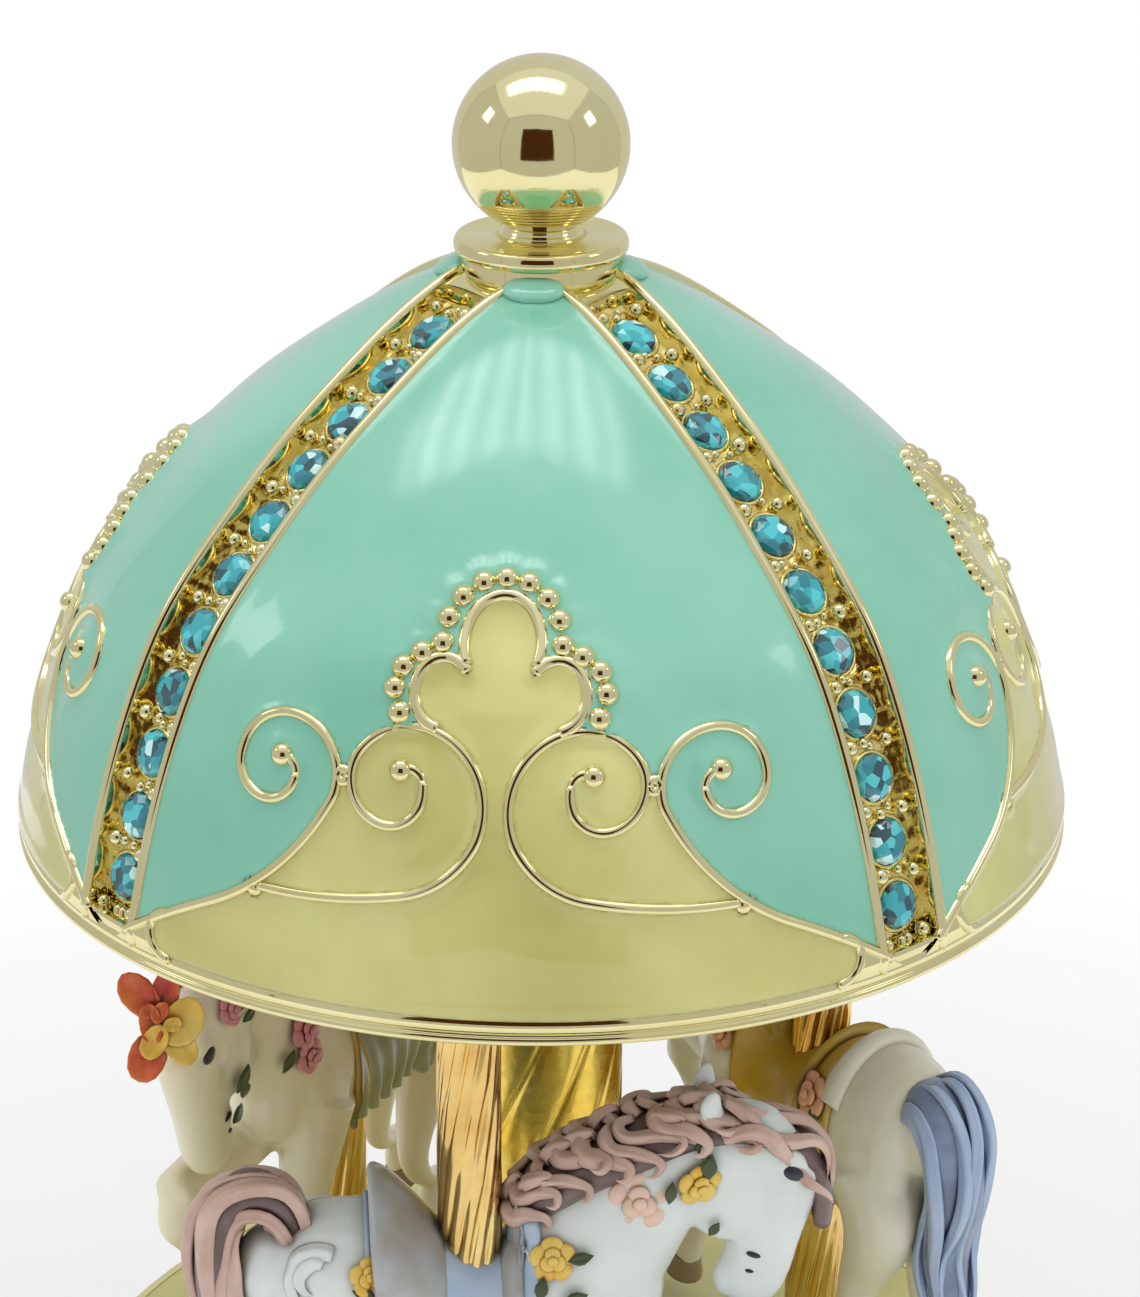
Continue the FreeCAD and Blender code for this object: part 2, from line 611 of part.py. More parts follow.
def make_cylinder():
    """The pinned cylinder with its arbor, crown pinion and governor gear."""
    start, end = cylinder_span
    drum = along_x(Part.makeCylinder(cylinder_radius, end - start), start, 0, cylinder_axis)
    pins = []
    for note in range(comb_teeth):
        x = start + (end - start) * (note + 0.5) / comb_teeth
        for hit in range(3):
            angle = 137.5 * note + 120 * hit + 40 * (note % 3)
            pin = Part.makeCylinder(0.2, 0.7, vec(x, 0, cylinder_axis + cylinder_radius - 0.35))
            pins.append(turned(pin, angle, vec(x, 0, cylinder_axis), X_AXIS))
    bore = along_x(Part.makeCylinder(pivot_radius, 40), 10, 0, cylinder_axis)
    export("pin_cylinder", drum.cut(bore).multiFuse(pins))
    export("cylinder_arbor", along_x(Part.makeCylinder(pivot_radius, 30.4), 10.2, 0, cylinder_axis))
    pinion = gear(cylinder_teeth, 2 * crown_radius / crown_teeth, 2.8, pivot_radius)
    export("crown_pinion", along_x(pinion, crown_radius - 1.4, 0, cylinder_axis))
    wheel = gear(governor_gear_teeth, governor_module, 1.2, pivot_radius)
    export("governor_gear", along_x(wheel, 34.3, 0, cylinder_axis))


def make_governor():
    """The governor's arbor with pinion and worm wheel, and the worm spindle with its air-brake blades."""
    span = governor_module * (governor_gear_teeth + governor_pinion_teeth) / 2
    y = -span
    pinion = gear(governor_pinion_teeth, governor_module, 1.6, fine_pivot_radius)
    pinion = turned(pinion, 180.0 / governor_pinion_teeth)
    wheel = gear(governor_wheel_teeth, governor_module, 1.4, fine_pivot_radius)
    arbor = along_x(Part.makeCylinder(fine_pivot_radius, 7.1), 33.4, y, cylinder_axis)
    export("governor_arbor", fused([along_x(pinion, 34.1, y, cylinder_axis),
                                    along_x(wheel, fly_x - 0.7, y, cylinder_axis), arbor]))
    fly_y = y - governor_module * governor_wheel_teeth / 2 - 1.6
    pivot = fine_pivot_radius
    spindle = turning([(0, bedplate_top - 1.5), (pivot, bedplate_top - 1.5), (pivot, 33.5), (1.2, 33.8),
                       (1.2, 38.2), (pivot, 38.5), (pivot, 45.0), (0, 45.0)])
    blades = [turned(block(0.3, 4.8, -0.2, 0.2, 39.5, 43.6), 180 * k) for k in range(2)]
    export("governor_fly", at(fused([spindle] + blades), fly_x, fly_y))
    return fly_y


def make_bedplate(fly_y):
    """The cast bedplate with its feet, bearing posts, comb rest and governor bracket, and the comb."""
    start, end = cylinder_span
    plate = block(-17.5, 41.0, -18.5, 19.0, bedplate_low, bedplate_top)
    plate = plate.fuse(block(start - 0.5, end + 0.5, 18.0, 25.0, bedplate_low, cylinder_axis - 0.3))
    feet = [disc(3.0, plate_top, bedplate_low, x=x, y=y) for x, y in bedplate_feet]
    posts = [block(15.3, 16.9, -2.6, 2.6, bedplate_top, cylinder_axis + 2.6),
             block(39.0, 40.5, -10.0, 2.6, bedplate_top, cylinder_axis + 2.6),
             block(fly_x - 1.6, fly_x + 1.6, fly_y - 2.0, fly_y + 1.6, bedplate_top, bedplate_top + 1.0),
             block(fly_x - 1.6, fly_x + 1.6, -18.5, -17.0, bedplate_top, 46.0),
             block(fly_x - 1.6, fly_x + 1.6, -18.5, fly_y + 1.6, 44.0, 46.0)]
    body = fused([plate] + feet + posts)
    span = governor_module * (governor_gear_teeth + governor_pinion_teeth) / 2
    cuts = [disc(arbor_radius + 0.6, bedplate_low, bedplate_top),
            along_x(Part.makeCylinder(pivot_radius + running_gap, 8), 14, 0, cylinder_axis),
            along_x(Part.makeCylinder(pivot_radius + running_gap, 4), 38, 0, cylinder_axis),
            along_x(Part.makeCylinder(fine_pivot_radius + running_gap, 4), 38, -span, cylinder_axis),
            disc(fine_pivot_radius + running_gap, bedplate_top - 1.6, 50, x=fly_x, y=fly_y)]
    cuts += [disc(screw_radius, plate_top, plate_top + 5.4, x=x, y=y) for x, y in bedplate_feet]
    cuts += [disc(1.0, cylinder_axis - 5, cylinder_axis, x=x, y=comb_screw_y) for x in comb_screw_places()]
    export("movement_bedplate", body.cut(Part.Compound(cuts)))
    tip = cylinder_radius + 0.45
    comb = block(start - 0.2, end + 0.2, tip, 24.6, cylinder_axis - 0.3, cylinder_axis + 0.5)
    pitch = (end - start) / comb_teeth
    slit = block(-0.12, 0.12, tip, 17.6, cylinder_axis - 0.3, cylinder_axis + 0.5)
    slits = [at(slit, start + pitch * k, -0.2 * k) for k in range(1, comb_teeth)]
    ramp = block(start - 1, end + 1, tip, 16.0, cylinder_axis + 0.15, cylinder_axis + 0.5)
    comb = comb.cut(Part.Compound(slits)).cut(ramp)
    comb = comb.cut(Part.Compound([disc(1.2, 30, 40, x=x, y=comb_screw_y) for x in comb_screw_places()]))
    export("music_comb", comb)
    top = cylinder_axis + 0.5
    screw = turning([(0, top - 4.5), (1.0, top - 4.5), (1.0, top), (2.0, top), (2.0, top + 0.8),
                     (1.7, top + 1.2), (0, top + 1.2)]).cut(block(-3, 3, -0.25, 0.25, top + 0.6, top + 2))
    export("comb_screws", Part.Compound([at(screw, x, comb_screw_y) for x in comb_screw_places()]))


def comb_screw_places():
    """Where the comb's screws stand along the cylinder."""
    start, end = cylinder_span
    return [start + 2.6, (start + end) / 2, end - 2.6]


def make_winder():
    """The winding arbor with its ratchet wheel, the pawl beside it and the butterfly key below."""
    ratchet_teeth, tip, root = 16, 7.0, 6.0
    stem_low = 9.0
    wing_x, wing_z, wing_radius, wing_thick = 8.2, 6.6, 4.6, 2.2
    points = []
    for step in range(ratchet_teeth):
        a = math.radians(360.0 / ratchet_teeth * step)
        b = math.radians(360.0 / ratchet_teeth * (step + 0.92))
        points.append(vec(root * math.cos(a), root * math.sin(a), 0))
        points.append(vec(tip * math.cos(b), tip * math.sin(b), 0))
    wheel = at(Part.Face(Part.makePolygon(points + points[:1])), z=bedplate_top + 0.2).extrude(vec(0, 0, 1.0))
    stem = disc(arbor_radius, stem_low, barrel_top - 2.4)
    export("winding_arbor", fused([stem, wheel]))
    pawl = block(7.25, 12.5, -1.0, 1.0, bedplate_top, bedplate_top + 1.1)
    export("ratchet_pawl", turned(pawl, 200))
    boss = disc(4.2, 3.6, foot_top - 0.8).cut(disc(arbor_radius, stem_low, foot_top - 0.8))
    wing = Part.makeCylinder(wing_radius, wing_thick, vec(wing_x, wing_thick / 2, wing_z), -Y_AXIS)
    wing = wing.fuse(block(2.5, wing_x, -wing_thick / 2, wing_thick / 2, wing_z - 2.2, wing_z + 2.2))
    wing = wing.cut(Part.makeCylinder(1.9, 2 * wing_thick, vec(wing_x + 0.4, wing_thick, wing_z), -Y_AXIS))
    export("winding_key", fused([boss, wing, turned(wing, 180)]))


os.makedirs("parts", exist_ok=True)
make_canopy()
make_finial()
make_column_and_poles()
make_platform()
make_horses()
make_base()
make_bottom()
make_barrel()
make_cylinder()
make_bedplate(make_governor())
make_winder()
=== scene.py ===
import math

import bpy
import numpy as np
from mathutils import Matrix, Vector
from mathutils.bvhtree import BVHTree


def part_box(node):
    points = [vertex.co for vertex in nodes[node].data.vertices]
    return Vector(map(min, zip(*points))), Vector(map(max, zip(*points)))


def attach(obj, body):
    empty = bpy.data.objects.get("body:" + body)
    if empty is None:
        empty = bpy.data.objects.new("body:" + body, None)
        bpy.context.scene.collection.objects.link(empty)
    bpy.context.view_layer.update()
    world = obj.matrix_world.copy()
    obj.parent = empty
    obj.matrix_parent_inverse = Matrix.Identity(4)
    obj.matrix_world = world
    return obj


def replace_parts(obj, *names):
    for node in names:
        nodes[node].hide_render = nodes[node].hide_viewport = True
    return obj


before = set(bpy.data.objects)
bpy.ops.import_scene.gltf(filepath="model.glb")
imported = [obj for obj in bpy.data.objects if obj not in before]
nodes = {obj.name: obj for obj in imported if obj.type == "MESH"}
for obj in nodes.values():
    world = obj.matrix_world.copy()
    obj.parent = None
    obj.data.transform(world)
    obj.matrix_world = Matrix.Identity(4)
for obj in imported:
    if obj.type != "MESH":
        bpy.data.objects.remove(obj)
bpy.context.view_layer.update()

mm = 0.001


# Base drum and foot ring. Two zinc castings, polished and plated with pale gold, screwed together;
# the drum's deck carries the turning platform. The plating is bright, with faint casting ripple.
def add(tree, kind, inputs=None, **settings):
    """A shader node with its settings and its inputs, each a value or another node's output."""
    made = tree.nodes.new("ShaderNode" + kind)
    for key, value in settings.items():
        setattr(made, key, value)
    for key, value in (inputs or {}).items():
        if isinstance(value, bpy.types.NodeSocket):
            tree.links.new(value, made.inputs[key])
        else:
            made.inputs[key].default_value = value
    return made


def finish(name, **plain):
    """A material with one Principled shader, its plain sockets set."""
    material = bpy.data.materials.new(name)
    material.use_nodes = True
    shader = material.node_tree.nodes["Principled BSDF"]
    for key, value in plain.items():
        shader.inputs[key.replace("_", " ")].default_value = value
    return material, material.node_tree, shader


def group(name, inputs, outputs):
    """An empty shader group with its float and colour sockets."""
    tree = bpy.data.node_groups.new(name, "ShaderNodeTree")
    for label, value in inputs.items():
        kind = "NodeSocketColor" if isinstance(value, tuple) else "NodeSocketFloat"
        tree.interface.new_socket(label, in_out="INPUT", socket_type=kind).default_value = value
    for label, kind in outputs.items():
        tree.interface.new_socket(label, in_out="OUTPUT", socket_type="NodeSocket" + kind)
    return tree, tree.nodes.new("NodeGroupInput").outputs, tree.nodes.new("NodeGroupOutput").inputs


def place_group(tree, made, **values):
    """A group placed in a material with its own values."""
    placed = tree.nodes.new("ShaderNodeGroup")
    placed.node_tree = made
    for key, value in values.items():
        placed.inputs[key.replace("_", " ")].default_value = value
    return placed.outputs


def feed(tree, shader, tone, relief=None):
    """Leads a group's colour and roughness, and a relief's normal, into a shader."""
    tree.links.new(tone["Color"], shader.inputs["Base Color"])
    tree.links.new(tone["Roughness"], shader.inputs["Roughness"])
    if relief is not None:
        tree.links.new(relief.outputs["Normal"], shader.inputs["Normal"])


# Uneven tone: two colours that drift into each other, a roughness that drifts with them and a fine height
uneven, given, out = group("uneven tone", {"Light": (1, 1, 1, 1), "Deep": (0.5, 0.5, 0.5, 1), "Drift": 60.0,
                                           "Grain": 900.0, "Smooth": 0.1, "Rough": 0.2},
                           {"Color": "Color", "Roughness": "Float", "Height": "Float"})
where = add(uneven, "TexCoord").outputs["Object"]
drift = add(uneven, "TexNoise", {"Vector": where, "Scale": given["Drift"], "Detail": 4.0, "Roughness": 0.55})
grain = add(uneven, "TexNoise", {"Vector": where, "Scale": given["Grain"], "Detail": 2.0})
share = add(uneven, "MapRange", {"Value": drift.outputs["Fac"], "From Min": 0.35, "From Max": 0.65})
tone = add(uneven, "Mix", {"Factor": share.outputs[0], "A": given["Deep"], "B": given["Light"]}, data_type="RGBA")
gloss = add(uneven, "MapRange", {"Value": grain.outputs["Fac"], "From Min": 0.3, "From Max": 0.7,
                                 "To Min": given["Smooth"], "To Max": given["Rough"]})
uneven.links.new(tone.outputs["Result"], out["Color"])
uneven.links.new(gloss.outputs[0], out["Roughness"])
uneven.links.new(grain.outputs["Fac"], out["Height"])


def metal(name, light, deep, smooth, rough, drift=60.0, grain=900.0, bump=0.04):
    """A metal with an uneven tone and a fine surface ripple."""
    material, tree, shader = finish(name, Metallic=1.0)
    plating = place_group(tree, uneven, Light=(*light, 1), Deep=(*deep, 1), Drift=drift, Grain=grain,
                          Smooth=smooth, Rough=rough)
    ripple = add(tree, "Bump", {"Height": plating["Height"], "Strength": bump, "Distance": 0.1 * mm})
    feed(tree, shader, plating, ripple)
    return material


def dress(material, *names):
    """Gives CAD nodes a finish."""
    for name in names:
        nodes[name].data.materials.clear()
        nodes[name].data.materials.append(material)


gold = metal("gold plate", (0.91, 0.85, 0.50), (0.85, 0.76, 0.39), 0.045, 0.10)
dress(gold, "base_drum", "base_foot")


# Enamel of the base: soft enamel in mint and cream, poured in the drum's band and the foot's cove and fired glossy.
# The platform's top has the same cream. Its tone is cloudy, under a clear gloss.
def enamel(name, light, deep):
    """Glossy enamel, with cloudy tone and a clear top."""
    material, tree, shader = finish(name, Coat_Weight=0.6, Coat_Roughness=0.02, IOR=1.5)
    cloud = place_group(tree, uneven, Light=(*light, 1), Deep=(*deep, 1), Drift=45.0, Grain=500.0, Smooth=0.10,
                        Rough=0.2)
    wave = add(tree, "Bump", {"Height": cloud["Height"], "Strength": 0.02, "Distance": 0.2 * mm})
    feed(tree, shader, cloud, wave)
    return material


mint = enamel("mint enamel", (0.255, 0.60, 0.455), (0.195, 0.53, 0.385))
cream = enamel("cream enamel", (0.69, 0.67, 0.26), (0.54, 0.51, 0.165))
dress(mint, "base_mint_enamel")
dress(cream, "foot_enamel", "platform_enamel")


# Bottom plate, movement and winder. A stamped steel plate closes the drum and holds the movement's zinc
# bedplate, with brass wheels, a steel comb and a spring inside its barrel; a plated key winds it from below.
steel = metal("steel", (0.62, 0.62, 0.61), (0.48, 0.48, 0.48), 0.22, 0.4)
brass = metal("movement brass", (0.85, 0.63, 0.28), (0.72, 0.50, 0.20), 0.15, 0.3)
zinc = metal("movement zinc", (0.52, 0.53, 0.54), (0.42, 0.43, 0.44), 0.3, 0.5)
dress(steel, "bottom_plate", "bottom_screws", "movement_screws", "music_comb", "comb_screws", "ratchet_pawl",
      "tie_rod", "drive_shaft", "mainspring", "cylinder_arbor", "governor_arbor", "winding_arbor")
dress(brass, "spring_barrel", "pin_cylinder", "crown_pinion", "governor_gear", "deck_bush")
dress(zinc, "movement_bedplate", "ceiling_plate")
dress(gold, "winding_key")
nylon, tree, shader = finish("nylon", IOR=1.5)
waxy = place_group(tree, uneven, Light=(0.78, 0.77, 0.72, 1), Deep=(0.70, 0.69, 0.63, 1), Drift=120.0, Grain=1500.0,
                   Smooth=0.35, Rough=0.55)
feed(tree, shader, waxy)
dress(nylon, "thrust_washer", "governor_fly")


# Platform: a turned zinc casting, plated with pale gold, with a cream enamelled top. It sits on the drive shaft
# and carries the poles and the column.
dress(gold, "platform")


# Column and poles. The column is a brass tube with fine spiral lines engraved in it; the poles are drawn
# brass rods, fluted and twisted, their flutes worn uneven. Both stand in the platform and the ceiling plate.
warm_brass = metal("twisted brass", (0.90, 0.66, 0.26), (0.78, 0.50, 0.16), 0.10, 0.22, drift=180.0)
satin_brass = metal("satin brass", (1.0, 0.76, 0.17), (0.92, 0.60, 0.08), 0.16, 0.34, drift=180.0)


def piece(name, points, faces, material, body, smooth=True):
    """A mesh from points in millimetres, riding on a body."""
    mesh = bpy.data.meshes.new(name)
    mesh.from_pydata([tuple(p) for p in np.asarray(points, float) * mm], [], faces)
    mesh.materials.append(material)
    mesh.polygons.foreach_set("use_smooth", [smooth] * len(mesh.polygons))
    made = bpy.data.objects.new(name, mesh)
    bpy.context.scene.collection.objects.link(made)
    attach(made, body)
    return made


def grid_faces(rows, columns, closed=True):
    """Quads over rows of points, with the last column joined to the first if closed."""
    last = columns if closed else columns - 1
    return [(r * columns + c, r * columns + (c + 1) % columns, (r + 1) * columns + (c + 1) % columns,
             (r + 1) * columns + c) for r in range(rows - 1) for c in range(last)]


def twisted(name, node, centre, levels, starts, lead, radius_at, brass):
    """A tube whose section turns as it rises. radius_at gives the radius by flute, share of a flute and height."""
    shares = np.array([0.0, 0.12, 0.24, 0.36, 0.44, 0.5, 0.56, 0.64, 0.76, 0.88])
    columns = starts * len(shares)
    flute, share = np.repeat(np.arange(starts), len(shares)), np.tile(shares, starts)
    points = []
    for z in levels:
        turn = 2 * np.pi * ((flute + share) / starts + (z - levels[0]) / lead)
        radius = radius_at(flute, share, z)
        x, y = centre[0] + radius * np.cos(turn), centre[1] + radius * np.sin(turn)
        points += list(zip(x, y, np.full(columns, z)))
    faces = grid_faces(len(levels), columns)
    faces += [tuple(range(columns))[::-1], tuple(range((len(levels) - 1) * columns, len(levels) * columns))]
    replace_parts(piece(name, points, faces, brass, "carousel"), node)


column_low, column_high = (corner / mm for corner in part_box("centre_column"))
column_radius = column_high.x
column_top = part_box("ceiling_plate")[0].z / mm
engraving_depth = 0.28


def engraved(flute, share, z):
    """The column's radius: plain, with a narrow groove in the middle of each flute."""
    return column_radius - engraving_depth * np.clip(1 - np.abs(share - 0.5) / 0.09, 0, 1)


twisted("column_engraved", "centre_column", (0, 0), np.linspace(column_low.z, column_top, 80), 10, 115.0, engraved,
        satin_brass)

pole_radius, pole_starts = 3.0, 13
worn = np.random.default_rng(11)
flute_reach = worn.uniform(9.0, 24.0, pole_starts)
flute_phase = worn.uniform(0, 2 * np.pi, pole_starts)


def pole_middle(side):
    """A pole's place round the platform."""
    low, high = (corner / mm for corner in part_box("pole_" + side))
    return (low.x + high.x) / 2, (low.y + high.y) / 2


def fluted(flute, share, z):
    """A pole's radius: rounded flutes whose grooves come and go along the pole."""
    swell = 0.5 + 0.5 * np.sin(2 * np.pi * z / flute_reach[flute] + flute_phase[flute])
    return pole_radius - (0.16 + 0.34 * swell) * np.abs(2 * share - 1) ** 2.2


for side in ("front", "right", "left"):
    twisted("pole_twist_" + side, "pole_" + side, pole_middle(side), np.linspace(column_low.z, column_top, 110),
            pole_starts, 99.0, fluted, warm_brass)


# Horses: three resin castings from one mould, bored for their poles, sprayed pearly white and brush painted.
# Painted shade darkens the recesses of mane, tail and saddle, and a dark skin under the locks is painted shade
# between them. Each has its own colours and flowers.
def smooth_curve(points, count):
    """Even points on the cubic curve through given points, by their chord lengths."""
    points = np.asarray(points, float)
    knots = np.concatenate([[0], np.cumsum(np.linalg.norm(np.diff(points, axis=0), axis=1))])
    steps = np.diff(knots)[:, None]
    slopes = np.diff(points, axis=0) / steps
    size = len(points)
    matrix, right = np.zeros((size, size)), np.zeros_like(points)
    matrix[0, :2], matrix[-1, -2:] = (2, 1), (1, 2)
    right[0], right[-1] = 3 * slopes[0], 3 * slopes[-1]
    for k in range(1, size - 1):
        matrix[k, k - 1:k + 2] = steps[k, 0], 2 * (steps[k - 1, 0] + steps[k, 0]), steps[k - 1, 0]
        right[k] = 3 * (steps[k] * slopes[k - 1] + steps[k - 1] * slopes[k])
    tangents = np.linalg.solve(matrix, right)
    fine = np.linspace(0, knots[-1], 20 * count)
    span = np.clip(np.searchsorted(knots, fine, side="right") - 1, 0, size - 2)
    t = ((fine - knots[span])[:, None]) / steps[span]
    line = ((2 * t ** 3 - 3 * t ** 2 + 1) * points[span] + (t ** 3 - 2 * t ** 2 + t) * steps[span] * tangents[span]
            + (3 * t ** 2 - 2 * t ** 3) * points[span + 1]
            + (t ** 3 - t ** 2) * steps[span] * tangents[span + 1])
    run = np.concatenate([[0], np.cumsum(np.linalg.norm(np.diff(line, axis=0), axis=1))])
    even = np.linspace(0, run[-1], count)
    return np.stack([np.interp(even, run, column) for column in line.T], axis=1)


def turned(points, degrees):
    """Points turned about the upright axis."""
    a = math.radians(degrees)
    return np.asarray(points) @ np.array([[math.cos(a), math.sin(a), 0], [-math.sin(a), math.cos(a), 0], [0, 0, 1]])


def joined(shapes):
    """Several shapes of points and faces as one."""
    points, faces = [], []
    for more, corners in shapes:
        faces += [tuple(len(points) + int(i) for i in face) for face in corners]
        points += [tuple(p) for p in more]
    return points, faces


def ball_shape(rings=9, sides=14):
    """A unit ball as points and faces."""
    polar = np.linspace(0, np.pi, rings + 2)[1:-1]
    points = [(math.sin(p) * math.cos(a), math.sin(p) * math.sin(a), math.cos(p)) for p in polar
              for a in np.linspace(0, 2 * np.pi, sides, endpoint=False)] + [(0, 0, 1), (0, 0, -1)]
    top, bottom = rings * sides, rings * sides + 1
    faces = [face[::-1] for face in grid_faces(rings, sides)]
    faces += [(top, k, (k + 1) % sides) for k in range(sides)]
    faces += [(bottom, (rings - 1) * sides + (k + 1) % sides, (rings - 1) * sides + k) for k in range(sides)]
    return np.array(points), faces


unit_ball, ball_faces = ball_shape()


def blob(centre, radii, pitch=0.0):
    """An ellipsoid, pitched nose down by an angle in degrees."""
    a = math.radians(pitch)
    tip = np.array([[math.cos(a), 0, -math.sin(a)], [0, 1, 0], [math.sin(a), 0, math.cos(a)]])
    return np.array(centre) + (unit_ball * np.array(radii)) @ tip, ball_faces


def run_shape(rings, sides=18, steps=30):
    """A closed round run through rings of (forward, side, up, tilt, thick, wide)."""
    rings = smooth_curve(rings, steps)
    round_ = np.linspace(0, 2 * np.pi, sides, endpoint=False)
    points = []
    for x, y, z, tilt, thick, wide in rings:
        slope = math.radians(tilt)
        for a in round_:
            rise = thick * math.cos(a)
            points.append((x - math.sin(slope) * rise, y + wide * math.sin(a), z + math.cos(slope) * rise))
    faces = grid_faces(steps, sides)
    faces += [tuple(range(sides))[::-1], tuple(range((steps - 1) * sides, steps * sides))]
    return points, faces


def leg_shape(side, joints):
    """A leg through its joints of (forward, up, half thickness)."""
    rings = []
    for k, (x, z, thick) in enumerate(joints):
        (x0, z0, _), (x1, z1, _) = joints[max(k - 1, 0)], joints[min(k + 1, len(joints) - 1)]
        rings.append((x, side, z, math.degrees(math.atan2(z1 - z0, x1 - x0)), thick, thick * 0.85))
    return run_shape(rings, 14, 36)


def melted(shapes, voxel, rounds):
    """Shapes grown together into one skin, as clay is, with its seams smoothed."""
    mesh = bpy.data.meshes.new("clay")
    points, faces = joined(shapes)
    mesh.from_pydata(points, [], faces)
    clay = bpy.data.objects.new("clay", mesh)
    bpy.context.scene.collection.objects.link(clay)
    remesh = clay.modifiers.new("grow", "REMESH")
    remesh.mode, remesh.voxel_size = "VOXEL", voxel
    soften = clay.modifiers.new("soften", "SMOOTH")
    soften.factor, soften.iterations = 0.5, rounds
    done = bpy.data.meshes.new_from_object(clay.evaluated_get(bpy.context.evaluated_depsgraph_get()))
    points = np.array([v.co for v in done.vertices])
    faces = [tuple(p.vertices) for p in done.polygons]
    for extra in (done, mesh):
        bpy.data.meshes.remove(extra)
    return points, faces


# The horse in its own millimetres: it faces +X, its pole stands at the origin and the platform is at height 0
trunk = run_shape([(-18.8, 0, 35.6, 0, 2.4, 2.4), (-16.4, 0, 35.2, 0, 6.8, 5.4), (-10.5, 0, 34.6, 0, 8.6, 6.8),
                   (0.0, 0, 31.4, 0, 6.8, 6.0), (7.0, 0, 33.8, 16, 8.6, 6.2), (12.0, 0, 39.4, 46, 8.0, 5.0),
                   (16.8, 0, 44.6, 44, 5.9, 4.0), (21.4, 0, 48.0, 22, 4.4, 3.4), (25.8, 0, 48.0, -28, 4.2, 3.2),
                   (28.2, 0, 45.4, -72, 4.0, 3.1), (28.0, 0, 41.2, -97, 3.8, 2.8), (27.1, 0, 37.0, -101, 3.4, 2.5),
                   (26.4, 0, 33.6, -101, 3.1, 2.4), (26.0, 0, 31.6, -101, 2.2, 1.9)], 24, 110)
hind_near = [(-11.5, 31.5, 5.4), (-14.0, 22.5, 3.8), (-11.0, 15.0, 2.2), (-14.8, 8.8, 1.6), (-14.0, 5.4, 1.7),
             (-13.6, 4.0, 1.8)]
hind_far = [(-11.5, 31.5, 5.4), (-15.4, 23.0, 3.8), (-14.4, 15.4, 2.2), (-18.4, 10.6, 1.6), (-19.3, 7.6, 1.7),
            (-19.6, 6.2, 1.8)]
fore_near = [(9.6, 31.5, 4.8), (12.6, 22.6, 3.2), (15.4, 15.0, 2.1), (17.0, 8.4, 1.5), (17.9, 6.0, 1.7),
             (18.2, 4.8, 1.8)]
fore_far = [(10.0, 31.0, 4.8), (16.0, 27.6, 3.6), (23.0, 28.0, 2.9), (26.6, 27.0, 2.8), (26.6, 23.4, 2.3),
            (23.8, 19.4, 1.7), (22.4, 17.6, 1.8)]
legs = [(3.3, hind_near), (-3.3, hind_far), (3.1, fore_near), (-3.1, fore_far)]
flesh = [trunk] + [leg_shape(side, joints) for side, joints in legs]
flesh += [blob((13.4, 0, 33.6), (4.8, 4.6, 5.8)), blob((27.6, 0, 33.8), (1.7, 1.9, 1.9)),
          blob((24.1, 0, 33.8), (1.5, 1.5, 2.2)), blob((-18.4, 0, 36.6), (3.5, 3.8, 4.8))]
for side in (1, -1):
    flesh += [blob((-11.6, side * 3.4, 32.2), (6.8, 3.6, 8.0)), blob((9.8, side * 3.2, 32.2), (5.2, 3.1, 6.8)),
              blob((24.0, side * 1.5, 43.4), (4.5, 1.9, 4.7)), blob((29.9, side * 2.1, 47.3), (1.5, 0.8, 0.8), 50),
              blob((25.9, side * 1.5, 37.2), (1.6, 1.0, 1.4)), blob((29.5, side * 2.2, 45.1), (1.4, 0.7, 0.6), 30),
              run_shape([(22.2, side * 1.9, 50.4, 90, 1.3, 1.0), (21.9, side * 2.5, 53.2, 92, 1.2, 0.8),
                         (22.2, side * 2.7, 55.2, 96, 0.35, 0.3)], 12, 14)]
coat_points, coat_faces = melted(flesh, 0.42, 5)
coat = BVHTree.FromPolygons([Vector(p) for p in coat_points], coat_faces)


def on_coat(place, lift):
    """The point of the coat nearest a place, lifted off it, and the way out of the coat there."""
    spot, out = coat.find_nearest(Vector(place))[:2]
    return np.array(spot + out * lift), np.array(out)


def lock_shape(line, outs, width, thick, strands=2, sides=16):
    """A lock of hair along a line: full near its root, drawn to a tip, with grooves between its strands."""
    ahead = np.gradient(line, axis=0)
    ahead /= np.linalg.norm(ahead, axis=1)[:, None]
    across = np.cross(ahead, outs)
    across /= np.linalg.norm(across, axis=1)[:, None]
    upward = np.cross(across, ahead)
    share = np.linspace(0, 1, len(line))
    full = np.sin(np.pi * np.clip(0.22 + 0.80 * share, 0, 1)) ** 0.7 + 0.06
    angles = np.linspace(0, 2 * np.pi, sides, endpoint=False)
    points = []
    for k in range(len(line)):
        groove = 1 + 0.20 * np.cos(2 * strands * angles + 1.5 * share[k])
        for a, g in zip(angles, groove):
            reach = width * math.cos(a) * across[k] + thick * math.sin(a) * upward[k]
            points.append(line[k] + full[k] * g * reach)
    faces = [face[::-1] for face in grid_faces(len(line), sides)]
    faces += [tuple(range(sides)), tuple(range((len(line) - 1) * sides, len(line) * sides))[::-1]]
    return points, faces


def lock_through(laid, width, thick, count):
    """A lock through places that each have their way out."""
    line = smooth_curve([place for place, _ in laid], count)
    outs = smooth_curve([place + 50 * out for place, out in laid], count)
    return lock_shape(line, outs - line, width, thick)


def hair_bed(places, count=120):
    """The bed of a mane or tail through places of (forward, up, half height, half width), with its direction."""
    rings = smooth_curve(places, count)
    ahead = np.gradient(rings[:, :2], axis=0)
    return rings, np.unwrap(np.arctan2(ahead[:, 1], ahead[:, 0]))


def bed_shape(bed):
    """A bed's own skin, drawn dark under the locks as painted shade."""
    rings, slope = bed
    rings = [(x, 0, z, math.degrees(t), high, wide) for (x, z, high, wide), t in zip(rings, slope)]
    return run_shape(rings, 20, len(rings))


